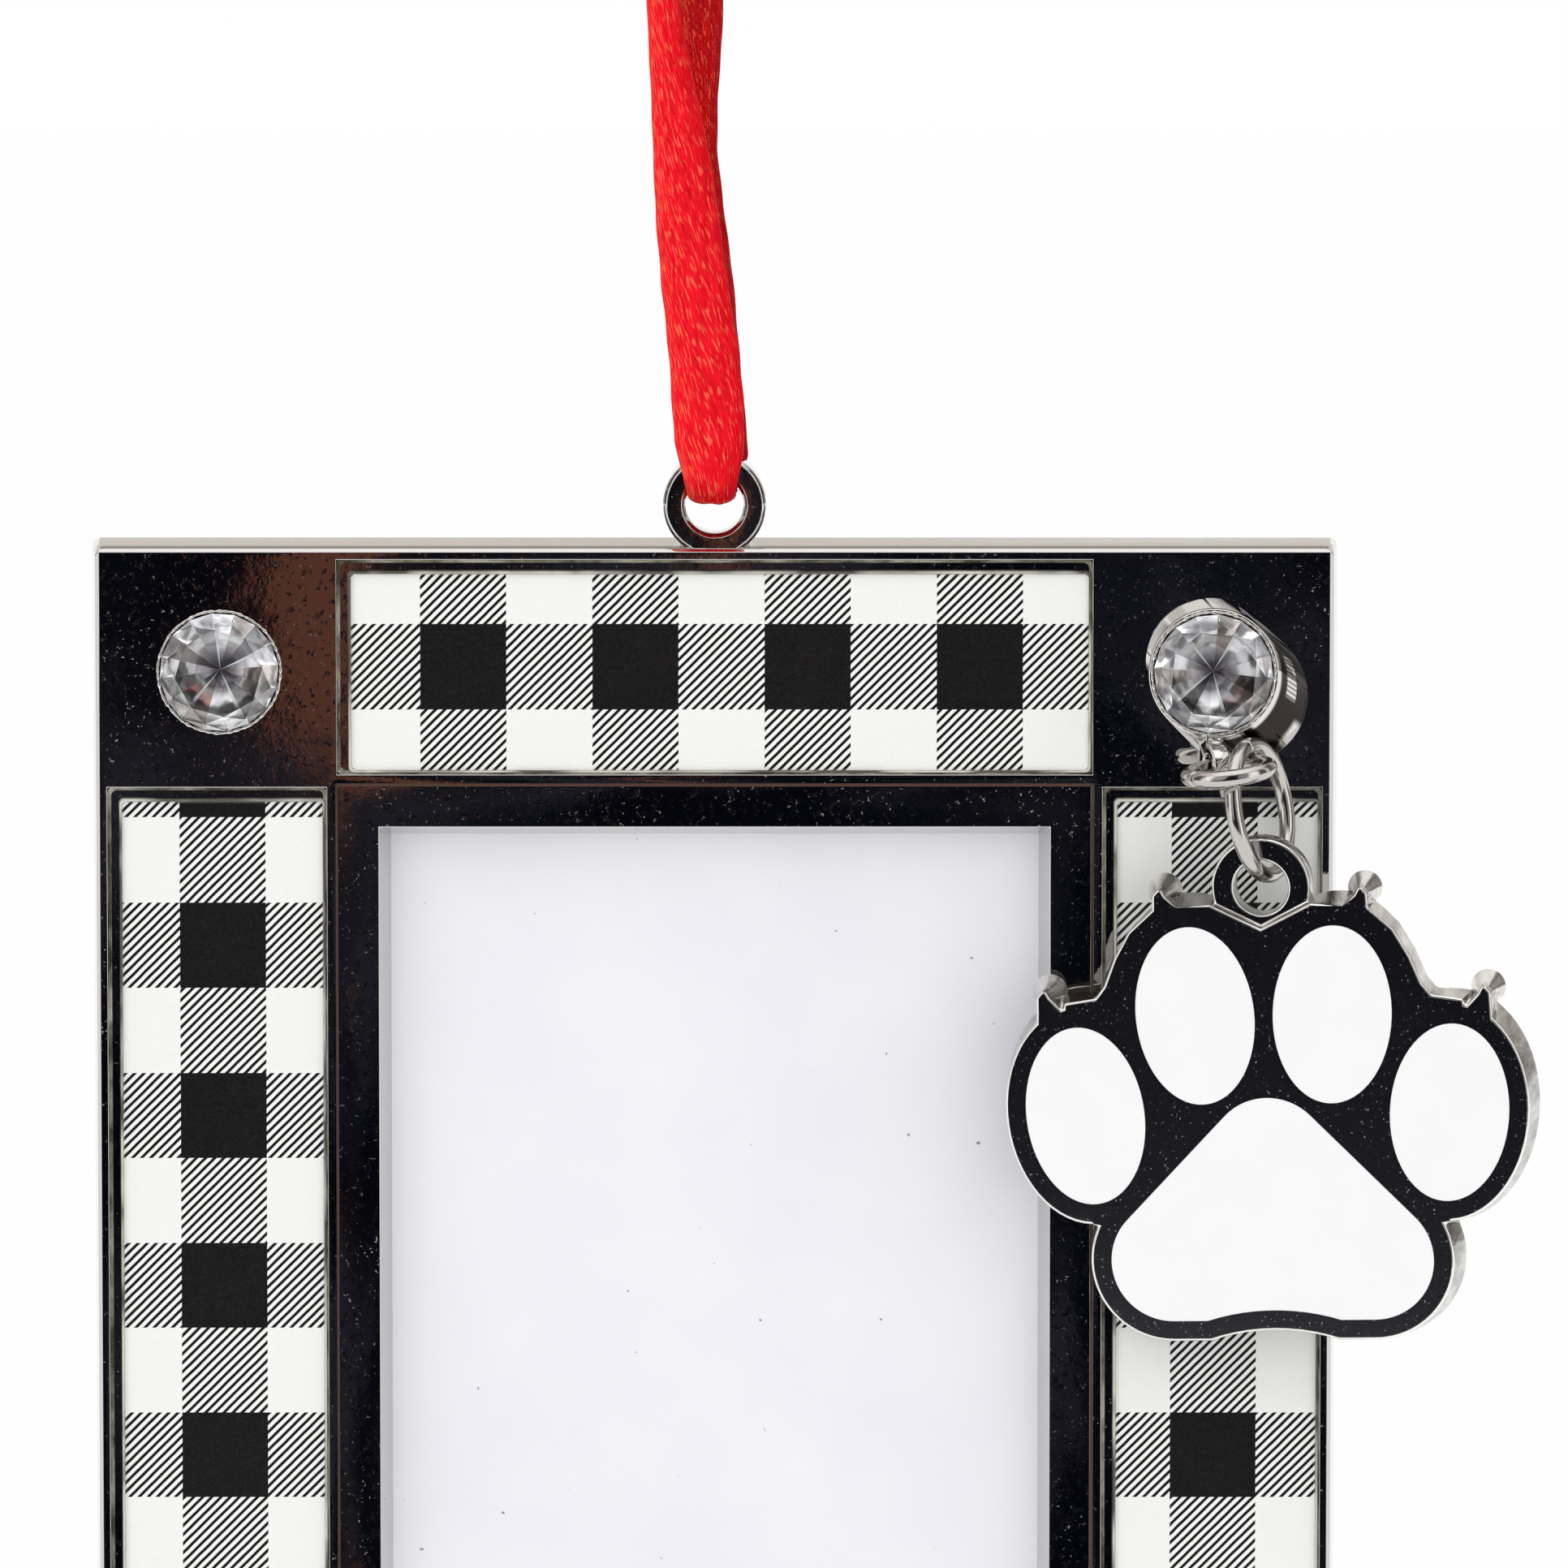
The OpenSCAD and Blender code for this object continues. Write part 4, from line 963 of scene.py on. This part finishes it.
# The round goes on the outer edges only: a field's edge lies on a wall that is no taller than the enamel
work = bmesh.new()
work.from_mesh(paw.data)
mark = work.edges.layers.float.get("bevel_weight_edge") or work.edges.layers.float.new("bevel_weight_edge")
for e in work.edges:
    sharp = len(e.link_faces) == 2 and e.calc_face_angle(0) > sharp_from
    depths = [[v.co.dot(paw_out) for v in f.verts] for f in e.link_faces if abs(f.normal.dot(paw_out)) < 0.5]
    low_wall = any(max(d) - min(d) < low_wall_depth for d in depths)
    e[mark] = 1.0 if sharp and not low_wall else 0.0
    e.smooth = not (sharp and low_wall)
work.to_mesh(paw.data)
work.free()
paw.modifiers["edges"].limit_method = "WEIGHT"
paw.modifiers["flats"].keep_sharp = True
charm_metal, tree, shader = finish_of("charm_plating")
where = place_on(tree)
facing = towards(tree, place_on(tree, "Normal"), paw_out)
face = ease(tree, facing, 0.975, 0.995)
not_face = rest_of(tree, face)
# Painted highlight: the rounded edges between the sides and the face are painted near white
rounded = times(tree, spread(tree, facing, 0.22, 0.34), not_face)
sandy = grain(tree, where, 0.00014, 2.0, 0.6)
clouds = grain(tree, where, 0.0022, 2.0, 0.5)
streaks = grain(tree, where, 0.0011, 3.0, 0.65, (1.0, 0.12, 1.0))
glint = times(tree, ease(tree, sandy, 0.65, 0.76), spread(tree, clouds, 0.35, 0.6, 0.3, 1.0))
face_tone = blend(tree, glint, (0.42, 0.42, 0.44), (0.55, 0.62, 0.74))
side_tone = blend(tree, spread(tree, streaks, 0.35, 0.65), (0.26, 0.25, 0.24), (0.70, 0.68, 0.65))
side_tone = blend(tree, rounded, side_tone, (1.0, 0.97, 0.93))
side_tone = blend(tree, spread(tree, facing, -0.8, -0.95), side_tone, (0.62, 0.61, 0.60))
paint(tree, shader, blend(tree, face, side_tone, face_tone))
dull = times(tree, times(tree, glint, face), 0.3)
put(tree, shader.inputs["Metallic"], rest_of(tree, dull))
put(tree, shader.inputs["Roughness"], blend(tree, face, 0.20, spread(tree, glint, 0, 1, 0.10, 0.5), "FLOAT"))
first = raised(tree, None, sandy, 0.000001, 0.8)
raised(tree, shader, times(tree, streaks, not_face), 0.00004, 1.0, first)
paw.data.materials.append(charm_metal)
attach(paw, "charm")
enamel, tree, shader = finish_of("white_enamel")
where = place_on(tree)
milky = spread(tree, grain(tree, where, 0.003, 2.0), 0.3, 0.7)
paint(tree, shader, blend(tree, milky, (0.965, 0.965, 0.965), (0.985, 0.985, 0.985)))
plain(shader, Roughness=0.22)
raised(tree, shader, grain(tree, where, 0.003, 1.0), 0.00003, 0.6)
for part in ("enamel_pad", "enamel_toe_1", "enamel_toe_2", "enamel_toe_3", "enamel_toe_4"):
    field = tumbled(part, "white_" + part, 0.00002)
    field.data.materials.append(enamel)
    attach(field, "charm")
